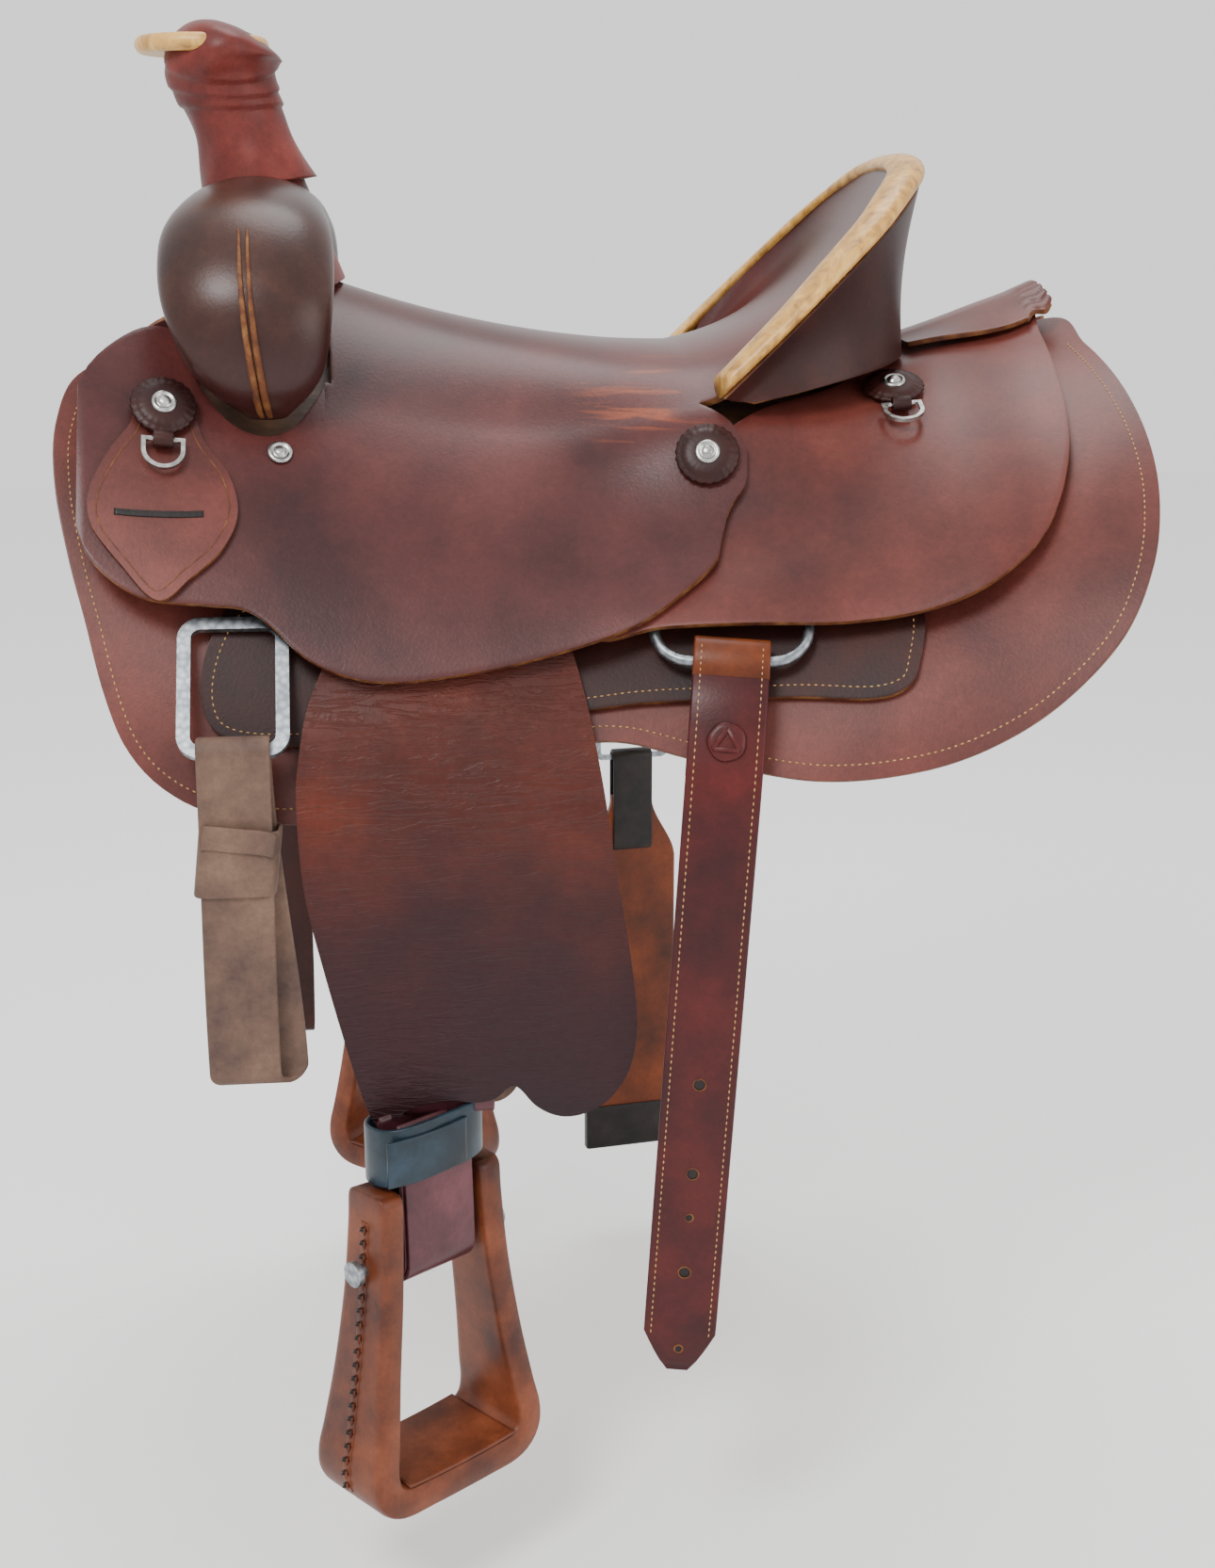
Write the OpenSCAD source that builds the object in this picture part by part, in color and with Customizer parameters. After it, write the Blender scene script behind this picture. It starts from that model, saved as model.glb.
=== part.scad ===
// Western stock saddle with a post horn, a rawhide-bound cantle, full double rigging and
// leather-covered stirrups. X runs towards the tail, Y to the off (right) side and Z up.
// The origin lies on the horse's spine line, below the middle of the saddle.
// Every leather layer is a sheet laid on one drape surface: x along the horse, s down its
// flank from the spine, and d outwards from its back.

/* [Seat] */
// Height of the cantle crown above the spine line
cantle_h = 166; // [160:1:170]
// Place of the cantle crown behind the middle
cantle_x = 190; // [188:1:194]
// Half of the cantle's width at its ends
cantle_half_w = 138; // [134:1:140]
// Thickness of the seat and skirt leather
leather_t = 4.5; // [3.5:0.5:4.5]

/* [Horn] */
// Radius of the horn cap
cap_r = 42; // [38:1:44]
// Height of the horn cap's top above the spine line
cap_top = 239; // [236:1:244]
// Radius of the horn neck under its wrap
neck_r = 26; // [22:1:28]

/* [Rigging] */
// Width of the flank billets
billet_w = 46; // [40:1:48]
// Length of the near flank billet below its ring
billet_len = 455; // [430:5:460]
// Width of the latigo
latigo_w = 42; // [36:1:42]
// Length of the doubled latigo
latigo_len = 205; // [190:5:210]
// Width of the flank cinch
cinch_w = 78; // [70:1:80]

/* [Stirrups] */
// Width across the stirrup at its tread
stirrup_w = 142; // [130:1:144]
// Height of the stirrup from tread to top
stirrup_h = 214; // [205:1:218]
// Turn of the stirrups towards the rider's foot
stirrup_yaw = 38; // [34:1:42]
// Width of the leather loop round the stirrup bolt
loop_w = 56; // [52:1:58]

/* [Hidden] */
$fn = 32;

// Layers of the saddle, outwards from the horse
d_fleece = 13.6;
d_skirt = 15;
d_plate = 21;
d_bar = 22.4;
bar_t = 15;
d_strap = 31;
d_back_jockey = 37;
d_seat = 44;
drape_len = 380;

// Colours
c_leather = [0.42, 0.23, 0.21];
c_dark = [0.28, 0.16, 0.17];
c_russet = [0.52, 0.26, 0.16];
c_rawhide = [0.80, 0.62, 0.34];
c_wool = [0.88, 0.83, 0.72];
c_wood = [0.70, 0.55, 0.36];
c_steel = [0.72, 0.73, 0.74];
c_latigo = [0.55, 0.45, 0.36];
c_blue = [0.14, 0.19, 0.24];

// ---- small maths ------------------------------------------------------------------
function smooth(t) = let(u = max(0, min(1, t))) u * u * (3 - 2 * u);
function mix(a, b, t) = a + (b - a) * t;
function unit(v) = v / norm(v);
function spline_at(a, b, c, d, t) =
    0.5 * (2 * b + (c - a) * t + (2 * a - 5 * b + 4 * c - d) * t * t
           + (3 * b - a - 3 * c + d) * t * t * t);
// Smooth closed loop through the points p, with m steps between neighbours
function closed_spline(p, m) = let(n = len(p)) [for (i = [0:n - 1]) for (j = [0:m - 1])
    spline_at(p[(i + n - 1) % n], p[i], p[(i + 1) % n], p[(i + 2) % n], j / m)];
// Smooth open line through the points p, with m steps between neighbours
function open_spline(p, m) = let(n = len(p)) [for (k = [0:(n - 1) * m])
    let(i = min(n - 2, floor(k / m)), t = k / m - i)
    spline_at(p[max(i - 1, 0)], p[i], p[i + 1], p[min(i + 2, n - 1)], t)];
function flip(p) = [for (i = [len(p) - 1:-1:0]) p[i]];

// ---- the drape surface ------------------------------------------------------------
// Spine height and the slopes at the spine and at the skirt's edge, along the horse
function spine_z(x) = 0.00068 * x * x - 0.078 * x;
function top_slope(x) = 25 - 0.05 * x;
function low_slope(x) = 73.5 - x / 300;
function bend(x) = (low_slope(x) - top_slope(x)) / drape_len;
function slope(x, s) = top_slope(x) + bend(x) * min(s, drape_len);
function drape(x, s, d) =
    let(k = bend(x), r = 180 / PI / k, a = top_slope(x), t = slope(x, s),
        past = max(0, s - drape_len))
    [x, r * (sin(t) - sin(a)) + past * cos(t) + d * sin(t),
     spine_z(x) - r * (cos(a) - cos(t)) - past * sin(t) + d * cos(t)];
// The thigh swell: seat and back jockey stand out over the thick of the bars and the ring
function bump(x, s, x0, s0, wx, ws) = exp(-pow((x - x0) / wx, 2)) * exp(-pow((s - s0) / ws, 2));
function swelling(x, s) = 27 * bump(x, s, 60, 100, 85, 45) + 5 * bump(x, s, 50, 228, 70, 38);
function raised(x, s, d) = drape(x, s, d + swelling(x, s));

// The seat: an arch from the crest line down to the raised drape
seat_join = 100;
function crest_z(x) = 43 + 0.00072 * pow(45 - x, 2) + 0.015 * max(0, -x);
function crest_reach(x) = mix(45, 88, smooth((x + 190) / 230));
function seat(x, s, d) =
    s >= seat_join || x < -190 ? raised(x, s, d) :
    let(p = raised(x, seat_join, d), q = raised(x, seat_join + 1, d),
        tan_p = unit(q - p), t = s / seat_join, u = 1 - t, z = crest_z(x) + d - d_seat - 4,
        a = [x, 0, z], b = [x, crest_reach(x), z], c = p - 35 * tan_p)
    u * u * u * a + 3 * u * u * t * b + 3 * u * t * t * c + t * t * t * p;

// The fender hangs from the jockey's lower edge and bends to the vertical
fender_y = 215;
fender_z = -158;
fender_slope = 59;
fender_arc = 85;
function hang(x, q, d) =
    let(k = (90 - fender_slope) / fender_arc, t = fender_slope + k * min(q, fender_arc),
        r = 180 / PI / k, a = fender_slope)
    [x, fender_y + r * (sin(t) - sin(a)) + d * sin(t),
     fender_z - r * (cos(a) - cos(t)) - max(0, q - fender_arc) + d * cos(t)];
function fender_line_y() = hang(0, 200, 0)[1];

// ---- solids from surfaces ----------------------------------------------------------
// Solid between two closed rings of n points at every station, capped at both ends
module loft(rings) {
    n = len(rings[0]);
    m = len(rings);
    polyhedron(
        points = [for (r = rings) each r],
        faces = concat(
            [[for (i = [0:n - 1]) i]],
            [[for (i = [n - 1:-1:0]) (m - 1) * n + i]],
            [for (k = [0:m - 2]) for (i = [0:n - 1]) let(j = (i + 1) % n)
                each [[k * n + i, (k + 1) * n + i, (k + 1) * n + j],
                      [k * n + i, (k + 1) * n + j, k * n + j]]]
        )
    );
}

// Sheet of leather: a star-shaped outline of [x, s] points round a centre, laid on a
// surface (lay) from depth lo(x, s) to depth hi(x, s)
module sheet(outline, centre, lay, lo, hi, rings = 4) {
    n = len(outline);
    spots = concat([centre], [for (k = [1:rings]) for (p = outline)
        centre + (p - centre) * sin(90 * k / rings)]);
    count = len(spots);
    function at(k, i) = 1 + (k - 1) * n + (i % n);
    top = concat(
        [for (i = [0:n - 1]) [0, at(1, i), at(1, i + 1)]],
        [for (k = [1:rings - 1]) for (i = [0:n - 1])
            each [[at(k, i), at(k + 1, i), at(k + 1, i + 1)],
                  [at(k, i), at(k + 1, i + 1), at(k, i + 1)]]]
    );
    under = [for (f = top) [f[0] + count, f[2] + count, f[1] + count]];
    rim = [for (i = [0:n - 1]) let(a = at(rings, i), b = at(rings, i + 1))
        each [[a, a + count, b + count], [a, b + count, b]]];
    polyhedron(
        points = concat([for (p = spots) lay(p[0], p[1], hi(p[0], p[1]))],
                        [for (p = spots) lay(p[0], p[1], lo(p[0], p[1]))]),
        faces = concat(top, under, rim)
    );
}

// Sheet over a grid of rows of points and the same grid moved by one offset
module grid_sheet(rows, offset) {
    n = len(rows[0]);
    m = len(rows);
    count = n * m;
    flat_pts = [for (r = rows) each r];
    top = [for (k = [0:m - 2]) for (i = [0:n - 2])
        each [[k * n + i, k * n + i + 1, (k + 1) * n + i + 1],
              [k * n + i, (k + 1) * n + i + 1, (k + 1) * n + i]]];
    under = [for (f = top) [f[0] + count, f[2] + count, f[1] + count]];
    edge = concat(
        [for (i = [0:n - 2]) [i, i + 1]],
        [for (k = [0:m - 2]) [k * n + n - 1, (k + 1) * n + n - 1]],
        [for (i = [n - 1:-1:1]) [(m - 1) * n + i, (m - 1) * n + i - 1]],
        [for (k = [m - 1:-1:1]) [k * n, (k - 1) * n]]
    );
    rim = [for (e = edge) each [[e[0], e[0] + count, e[1] + count], [e[0], e[1] + count, e[1]]]];
    polyhedron(points = concat(flat_pts, [for (p = flat_pts) p + offset]),
               faces = concat(top, under, rim));
}

// Left (near side) is -Y: shapes are written for +Y and mirrored
module sided(side) {
    mirror([0, side < 0 ? 1 : 0, 0]) children();
}

// Children's own X, Y, Z become along the horse, down the flank and outwards
module on_drape(x, s, d) {
    translate(drape(x, s, d)) rotate([-slope(x, s), 0, 0]) children();
}

// The same on the raised surface, turned to its true normal
module on_raised(x, s, d) {
    e = 2;
    p = raised(x, s, d);
    down = unit(raised(x, s + e, d) - raised(x, s - e, d));
    out = unit(cross(raised(x + e, s, d) - raised(x - e, s, d), down));
    along = cross(down, out);
    multmatrix([for (i = [0:2]) [along[i], down[i], out[i], p[i]]]) children();
}

// Makes one mesh of overlapping sheets
module one_mesh() {
    resize([0, 0, 0]) union() children();
}

// ---- tree --------------------------------------------------------------------------
bar_line = [[-268, 95], [-240, 45], [-150, 32], [0, 32], [150, 34], [222, 52], [238, 95],
            [222, 122], [150, 126], [0, 158], [-150, 160], [-240, 146]];

module tree_bar(side) {
    function crown(x, s) = d_bar + 3 + (bar_t - 3 + 0.75 * swelling(x, s))
        * (1 - pow(abs(x + 15) / 262, 4)) * (1 - pow(abs(s - 97) / 72, 4));
    color(c_wood) sided(side)
        sheet(closed_spline(bar_line, 3), [-15, 97], function(x, s, d) drape(x, s, d),
              function(x, s) d_bar, function(x, s) max(d_bar + 2.5, crown(x, s)), 5);
}

module tree_bar_left() { tree_bar(-1); }
module tree_bar_right() { tree_bar(1); }

// Fork stations: y, z, middle x, half length along the horse, half thickness
fork_line = [[127, 5, -225, 12, 4], [138, 30, -229, 38, 15], [134, 70, -234, 51, 22],
             [103, 106, -235, 53, 25], [55, 124, -233, 46, 23], [0, 130, -231, 38, 20]];
fork_full = concat(fork_line, [for (i = [len(fork_line) - 2:-1:0])
    let(p = fork_line[i]) [-p[0], p[1], p[2], p[3], p[4]]]);
fork_stations = open_spline(fork_full, 3);

// Ring of n points round station i of the arch, grown by g; lift moves it outwards
function arch_ring(i, n, g, lift = 0, wide = 1) =
    let(p = fork_stations[i], last = len(fork_stations) - 1,
        q = fork_stations[min(i + 1, last)], r = fork_stations[max(i - 1, 0)],
        along = unit([0, q[0] - r[0], q[1] - r[1]]), out = [0, -along[2], along[1]],
        mid = [p[2], p[0], p[1]] - out * lift)
    [for (k = [0:n - 1]) let(a = 360 * k / n)
        mid + [(p[3] + g) * wide * cos(a), 0, 0] + out * (p[4] + g) * sin(a)];

cover_t = 3.5;

module fork() {
    last = len(fork_stations) - 1;
    color(c_wood) loft([for (i = [1:last - 1]) arch_ring(i, 20, -cover_t - 0.4)]);
}

module swell_cover() {
    n = 24;
    last = len(fork_stations) - 1;
    stations = [for (i = [0:last]) i];
    count = n * (last + 1);
    outer = [for (i = stations) each arch_ring(i, n, 0)];
    inner = [for (i = stations) each arch_ring(i, n, i == 0 || i == last ? -2 : -cover_t)];
    skin = [for (k = [0:last - 1]) for (i = [0:n - 1]) let(j = (i + 1) % n)
        each [[k * n + i, (k + 1) * n + i, (k + 1) * n + j],
              [k * n + i, (k + 1) * n + j, k * n + j]]];
    lining = [for (f = skin) [f[0] + count, f[2] + count, f[1] + count]];
    lips = [for (i = [0:n - 1]) let(j = (i + 1) % n, e = last * n)
        each [[i, j, j + count], [i, j + count, i + count],
              [e + j, e + i, e + i + count], [e + j, e + i + count, e + j + count]]];
    color(c_dark) polyhedron(points = concat(outer, inner), faces = concat(skin, lining, lips));
}

module swell_welts() {
    welt_r = 1.7;
    color(c_russet) for (side = [-1, 1]) sided(side)
        loft([for (i = [0:9]) let(p = fork_stations[i], q = fork_stations[i + 1],
            r = fork_stations[max(i - 1, 0)], along = unit([0, q[0] - r[0], q[1] - r[1]]),
            out = [0, along[2], -along[1]], mid = [p[2], p[0], p[1]] + out * (p[4] + welt_r + 0.2))
            [for (k = [0:7]) mid + [2.6 * cos(45 * k), 0, 0] - out * welt_r * sin(45 * k)]]);
}

module gullet_cover() {
    last = len(fork_stations) - 1;
    color(c_leather) loft([for (i = [5:last - 5]) let(p = fork_stations[i],
        q = fork_stations[i + 1], r = fork_stations[i - 1],
        along = unit([0, q[0] - r[0], q[1] - r[1]]), inw = [0, -along[2], along[1]],
        mid = [p[2], p[0], p[1]] + inw * (p[4] + 2.4))
        [for (c = [[-1, -1], [1, -1], [1, 1], [-1, 1]])
            mid + [c[0] * p[3] * 0.62, 0, 0] - inw * 1.6 * c[1]]]);
}

// ---- horn ----------------------------------------------------------------------------
horn_base = [-231, 0, 155];
horn_lean = -15;
horn_cap_x = -263;
cap_t = 11;

module on_horn() {
    translate(horn_base) rotate([0, horn_lean, 0]) children();
}

module horn_core() {
    color(c_steel) difference() {
        on_horn() rotate_extrude()
            polygon([[0, 0], [neck_r + 4, 0], [neck_r, 10], [neck_r - 2, 50], [neck_r, 90],
                     [0, 90]]);
        translate([horn_cap_x - 80, -80, cap_top - cap_t + 1.9]) cube([160, 160, 60]);
    }
}

module horn_cap() {
    color(c_dark) translate([horn_cap_x, 0, cap_top - cap_t + 2]) rotate_extrude()
        polygon([[0, 0], [cap_r - 5, 0], [cap_r - 5, cap_t - 3.5], [cap_r - 9, cap_t - 2],
                 [0, cap_t - 2]]);
}

module horn_binding() {
    color(c_rawhide) translate([horn_cap_x, 0, cap_top - cap_t / 2]) rotate_extrude()
        intersection() {
            translate([cap_r - 2, 0]) scale([0.5, 1]) circle(r = cap_t / 2);
            translate([cap_r - 4.8, -cap_t]) square([20, 2 * cap_t]);
        }
}

module horn_wrap() {
    color(c_leather) difference() {
        on_horn() rotate_extrude()
            polygon([[neck_r + 4.5, 0.5], [neck_r + 8, 0.5], [neck_r + 7.5, 30], [neck_r + 8.5, 34],
                     [neck_r + 5, 60], [neck_r + 3.5, 90], [neck_r + 0.4, 90],
                     [neck_r + 0.4, 10]]);
        translate([horn_cap_x - 80, -80, cap_top - cap_t - 0.3]) cube([160, 160, 60]);
    }
}

// ---- cantle --------------------------------------------------------------------------
rim_end = [41, 0, 10];
rim_power = 2.7;
base_top = [187, 0, 37];
base_end = [66, 0, 8];
// Curve from one end of a cantle line to the other; t runs from -90 to 90 degrees
function bow(end, top, half_w, t) = let(c = pow(abs(sin(t)), 2 / rim_power),
        s = pow(cos(t), 2 / rim_power))
    [mix(end[0], top[0], s), sign(t) * half_w * c, mix(end[2], top[2], s)];
function rim(t) = bow(rim_end, [cantle_x, 0, cantle_h - 8], cantle_half_w, t);
function base(t) = bow(base_end, base_top, cantle_half_w - 4, t);
function rim_out(t) = unit([max(rim(t)[0] - 40, 1) * 0.9, rim(t)[1], 0]);
rim_steps = [for (t = [-84:12:84]) t];

module cantle_board() {
    color(c_wood) loft([for (t = flip(rim_steps)) let(o = rim_out(t), r = rim(t), b = base(t),
            low = mix(b, r, 0.02))
        [r + [0, 0, -7.6] - o * 2, r + [0, 0, -7.6] + o * 6, low - o * 3, low - o * 14]]);
}

module cantle_back() {
    color(c_dark) loft([for (t = flip(rim_steps)) let(o = rim_out(t), r = rim(t), b = base(t))
        [r + [0, 0, -7.6] + o * 7.5, r + [0, 0, -7.6] + o * 10.5, b + o * 3.2, b + o * 0.2]]);
}

module cantle_binding() {
    bead_w = 12;
    bead_h = 7;
    steps = [for (t = [-88:8:88]) t];
    color(c_rawhide) loft([for (t = flip(steps)) let(o = rim_out(t), up = [0, 0, 1])
        [for (k = [0:11]) rim(t) + o * (4 + bead_w * cos(30 * k)) - up * bead_h * sin(30 * k)]]);
}

// ---- seat ----------------------------------------------------------------------------
seat_front = -186;
dish_front = 43;
dish_s = 96;
seat_line = [[-282, 80], [-302, 87], [-326, 117], [-338, 145], [-342, 180], [-339, 222],
             [-328, 246], [-300, 256], [-262, 248], [-240, 244], [-224, 250], [-205, 263],
             [-180, 269], [-150, 267], [-100, 255], [-50, 241], [-4, 226], [28, 206],
             [46, 190], [52, 170], [58, 158], [68, 146], [70, 128], [60, 112], [46, 100]];
seat_edge = concat(open_spline(seat_line, 2), [[dish_front + 2, 60], [dish_front + 2, 30],
    [dish_front + 2, 0], [20, 0], [-5, 0], [-30, 0], [-60, 0], [-90, 0], [-120, 0],
    [-150, 0], [seat_front, 0], [seat_front, 30], [seat_front - 1, 61]],
    open_spline([[-190, 84], [-199, 104], [-210, 122], [-226, 133], [-246, 132], [-262, 118],
                 [-273, 100]], 1));

module seat_dish() {
    steps = [for (t = [-78:13:78]) t];
    rows = [for (v = [0:0.25:1]) [for (t = steps)
        let(s = dish_s * sin(t) / sin(78), f = seat(dish_front, abs(s), d_seat + leather_t),
            low = [f[0], sign(t) * f[1], f[2]],
            high = rim(t) - rim_out(t) * 9.5 + [0, 0, -3],
            mid = [mix(low[0], high[0], 0.66), mix(low[1], high[1], 0.6),
                   mix(low[2], high[2], 0.14)], u = 1 - v)
        u * u * low + 2 * u * v * mid + v * v * high]];
    grid_sheet(rows, [2.2, 0, -3.6]);
}

module seat_leather() {
    color(c_leather) one_mesh() {
        for (side = [-1, 1]) sided(side)
            sheet(seat_edge, [-200, 190], function(x, s, d) seat(x, s, d),
                  function(x, s) d_seat, function(x, s) d_seat + leather_t, 6);
        seat_dish();
    }
}

// Strainer plate between the bars, under the front of the seat
module ground_seat() {
    half_s = 56;
    plate_t = 3;
    color(c_wood) grid_sheet([for (x = [-170:25:30]) [for (s = [-half_s:half_s / 4:half_s])
        let(p = seat(x, abs(s), 37.4)) [x, sign(s) * p[1], p[2]]]], [0, 0, -plate_t]);
}

// ---- skirts and jockeys -----------------------------------------------------------------
skirt_line = [[-302, 84], [-341, 119], [-354, 160], [-354, 200], [-346, 242], [-336, 278],
              [-326, 315], [-313, 343], [-291, 359], [-258, 363], [-200, 352], [-120, 312],
              [-32, 286], [30, 300], [100, 322], [160, 330], [205, 328], [246, 317],
              [284, 294], [306, 261], [317, 225], [321, 185], [319, 132], [312, 66],
              [303, 6], [200, 5], [100, 5], [0, 5], [-80, 8], [-140, 30], [-230, 60]];
skirt_mid = [0, 150];

module skirt(side) {
    color(c_leather) sided(side)
        sheet(closed_spline(skirt_line, 2), skirt_mid, function(x, s, d) drape(x, s, d),
              function(x, s) d_skirt, function(x, s) d_skirt + leather_t, 6);
}

module fleece(side) {
    inset = 0.965;
    inner = [for (p = skirt_line) skirt_mid + (p - skirt_mid) * inset];
    color(c_wool) sided(side)
        sheet(closed_spline(inner, 2), skirt_mid, function(x, s, d) drape(x, s, d),
              function(x, s) 0, function(x, s) d_fleece, 6);
}

module skirt_left() { skirt(-1); }
module skirt_right() { skirt(1); }
module fleece_left() { fleece(-1); }
module fleece_right() { fleece(1); }

back_line = [[286, 4], [284, 50], [281, 94], [277, 135], [271, 168], [257, 201], [238, 224],
             [207, 239], [170, 243], [122, 239], [66, 231], [9, 227], [-30, 231], [-44, 200],
             [-10, 150], [40, 124], [76, 104], [120, 82], [160, 54], [192, 28], [200, 4],
             [245, 4]];
function back_depth(x, s) =
    let(flank = d_back_jockey - 10 * smooth((x - 200) / 75),
        spine = 22 + 0.11 * (x - 185))
    mix(spine, flank, smooth((s - 5) / 55));

module back_jockey(side) {
    color(c_leather) sided(side)
        sheet(closed_spline(back_line, 2), [130, 150], function(x, s, d) raised(x, s, d),
              function(x, s) back_depth(x, s),
              function(x, s) back_depth(x, s) + leather_t, 4);
}

module back_jockey_left() { back_jockey(-1); }
module back_jockey_right() { back_jockey(1); }

// Butterfly patch over the joint of the two back jockeys, behind the cantle
module back_jockey_patch() {
    function top(x, w) = let(s = abs(w), p = raised(x, s, back_depth(x, s) + leather_t + 5.6))
        [x, sign(w) * p[1], p[2]];
    rows = [for (x = [205, 225, 245, 265, 280, 293])
        let(half = mix(34, 46, sin(180 * (x - 205) / 88 * 0.9)))
        [for (k = [-4:4]) top(x, half * k / 4)]];
    color(c_leather) grid_sheet(rows, [0, 0, -3]);
}

plate_line = [[-262, 262], [-268, 300], [-252, 318], [-200, 308], [-120, 284], [-33, 268],
              [18, 265], [86, 271], [135, 282], [156, 280], [164, 268], [170, 235],
              [150, 205], [60, 190], [-60, 190], [-180, 205], [-240, 228]];

module rig_plate(side) {
    color(c_dark) sided(side)
        sheet(closed_spline(plate_line, 3), [-40, 240], function(x, s, d) drape(x, s, d),
              function(x, s) d_plate, function(x, s) d_plate + leather_t, 3);
}

module rig_plate_left() { rig_plate(-1); }
module rig_plate_right() { rig_plate(1); }

keeper_line = [[-290, 124], [-302, 138], [-306, 156], [-318, 178], [-329, 206], [-328, 226],
               [-312, 242], [-290, 256], [-270, 236], [-252, 214], [-243, 190], [-248, 168],
               [-262, 152], [-268, 138], [-276, 124]];

module latigo_keeper() {
    d = d_seat + leather_t + 0.5;
    color(c_leather) one_mesh() difference() {
        sided(-1) sheet(closed_spline(keeper_line, 2), [-286, 190],
            function(x, s, d) drape(x, s, d), function(x, s) d, function(x, s) d + 4, 3);
        sided(-1) on_drape(-289, 205, d) translate([-26, -2, -6]) cube([52, 4, 16]);
    }
}

// ---- rosettes, screws, tabs and small dees -------------------------------------------------
// x, s and outward depth of the four lace screws on each side
front_spot = [-288, 140, d_seat + leather_t];
plain_spot = [-218, 142, d_seat + leather_t];
mid_spot = [45, 130, d_seat + leather_t];
rear_spot = [175, 84, d_back_jockey + leather_t];
keeper_rise = 5;
rosette_r = 17;
rosette_t = 3;
screw_r = 7;
screw_h = 2.4;
mid_rise = 3;

// Children at a spot; the near front one stands on the keeper
module at_spot(side, spot, rise = 0) {
    lift = side < 0 && spot == front_spot ? keeper_rise : 0;
    sided(side) on_raised(spot[0], spot[1], spot[2])
        translate([0, 0, rise + lift]) children();
}

// Tab of each small dee: a tongue under the rosette, with an eye round the dee's bar
tab_t = 2.6;
tab_w = 12;
tab_eye = 25;
eye_rise = 5.2;
eye_r = 4.4;
wire = 2.6;
rosette_rise = tab_t + 0.8;

module rosettes() {
    color(c_dark) for (side = [-1, 1]) {
        for (spot = [front_spot, rear_spot])
            at_spot(side, spot, rosette_rise) cylinder(r = rosette_r, h = rosette_t);
        at_spot(side, mid_spot, mid_rise) cylinder(r = rosette_r, h = rosette_t);
    }
}

module concho_screws() {
    color(c_steel) for (side = [-1, 1]) {
        for (spot = [front_spot, rear_spot])
            at_spot(side, spot, rosette_rise + rosette_t + 0.2) cylinder(r = screw_r, h = screw_h);
        at_spot(side, mid_spot, mid_rise + rosette_t + 0.2) cylinder(r = screw_r, h = screw_h);
        at_spot(side, plain_spot, 0.8) cylinder(r = screw_r, h = screw_h);
    }
}

module dee_tab() {
    translate([-tab_w / 2, -6, 0.4]) cube([tab_w, tab_eye + 6, tab_t]);
    translate([-tab_w / 2, tab_eye, eye_rise]) rotate([0, 90, 0]) difference() {
        cylinder(r = eye_r, h = tab_w);
        translate([0, 0, -1]) cylinder(r = wire / 2 + 0.6, h = tab_w + 2);
    }
}

module dee_tabs() {
    color(c_dark) for (side = [-1, 1]) for (spot = [front_spot, rear_spot])
        at_spot(side, spot) dee_tab();
}

module saddle_dee(side, spot) {
    bow_r = 13;
    flat = 7;
    color(c_steel) at_spot(side, spot) translate([0, tab_eye, eye_rise]) {
        translate([-12, 0, 0]) rotate([0, 90, 0]) cylinder(r = wire / 2, h = 24);
        translate([0, 0, -wire / 2]) linear_extrude(wire) difference() {
            union() {
                translate([-bow_r, -wire / 2]) square([2 * bow_r, flat + wire / 2]);
                translate([0, flat]) circle(r = bow_r);
            }
            translate([wire - bow_r, wire / 2]) square([2 * (bow_r - wire), flat - wire / 2]);
            translate([0, flat]) circle(r = bow_r - wire);
            translate([-bow_r, -bow_r - wire / 2]) square([2 * bow_r, bow_r]);
        }
    }
}

module saddle_dee_front_left() { saddle_dee(-1, front_spot); }
module saddle_dee_front_right() { saddle_dee(1, front_spot); }
module saddle_dee_rear_left() { saddle_dee(-1, rear_spot); }
module saddle_dee_rear_right() { saddle_dee(1, rear_spot); }

// ---- rigging hardware ---------------------------------------------------------------------
dee_x = -248;
dee_s = 250;
dee_d = 30.5;
dee_w = 66;
dee_h = 92;
dee_bar = 8;
dee_t = 4.5;
dee_tilt = 9.5;

module rounded(w, h, r) {
    translate([-w / 2, r]) square([w, h - 2 * r]);
    translate([r - w / 2, 0]) square([w - 2 * r, h]);
    for (x = [r - w / 2, w / 2 - r]) for (y = [r, h - r]) translate([x, y]) circle(r = r);
}

module front_dee(side) {
    color(c_steel) sided(side) on_drape(dee_x, dee_s, dee_d) rotate([dee_tilt, 0, 0])
        translate([0, -dee_bar / 2, -dee_t / 2]) linear_extrude(dee_t) difference() {
            rounded(dee_w, dee_h, 14);
            translate([0, dee_bar]) rounded(dee_w - 2 * dee_bar, dee_h - 2 * dee_bar, 6);
        }
}

module front_dee_left() { front_dee(-1); }
module front_dee_right() { front_dee(1); }

// The rear ring hangs from the rig plate; its bottom bar carries the flank billet
ring_bottom = drape(50, 249, 38.3);
ring_slope = 46;
ring_yaw = 9;
ring_w = 94;
ring_h = 78;
ring_r = 23;
ring_wire = 3.4;

// Children's X runs along the ring's bottom bar, Y outwards and Z up
module at_ring(side) {
    sided(side) translate(ring_bottom) rotate([0, 0, ring_yaw]) children();
}

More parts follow.
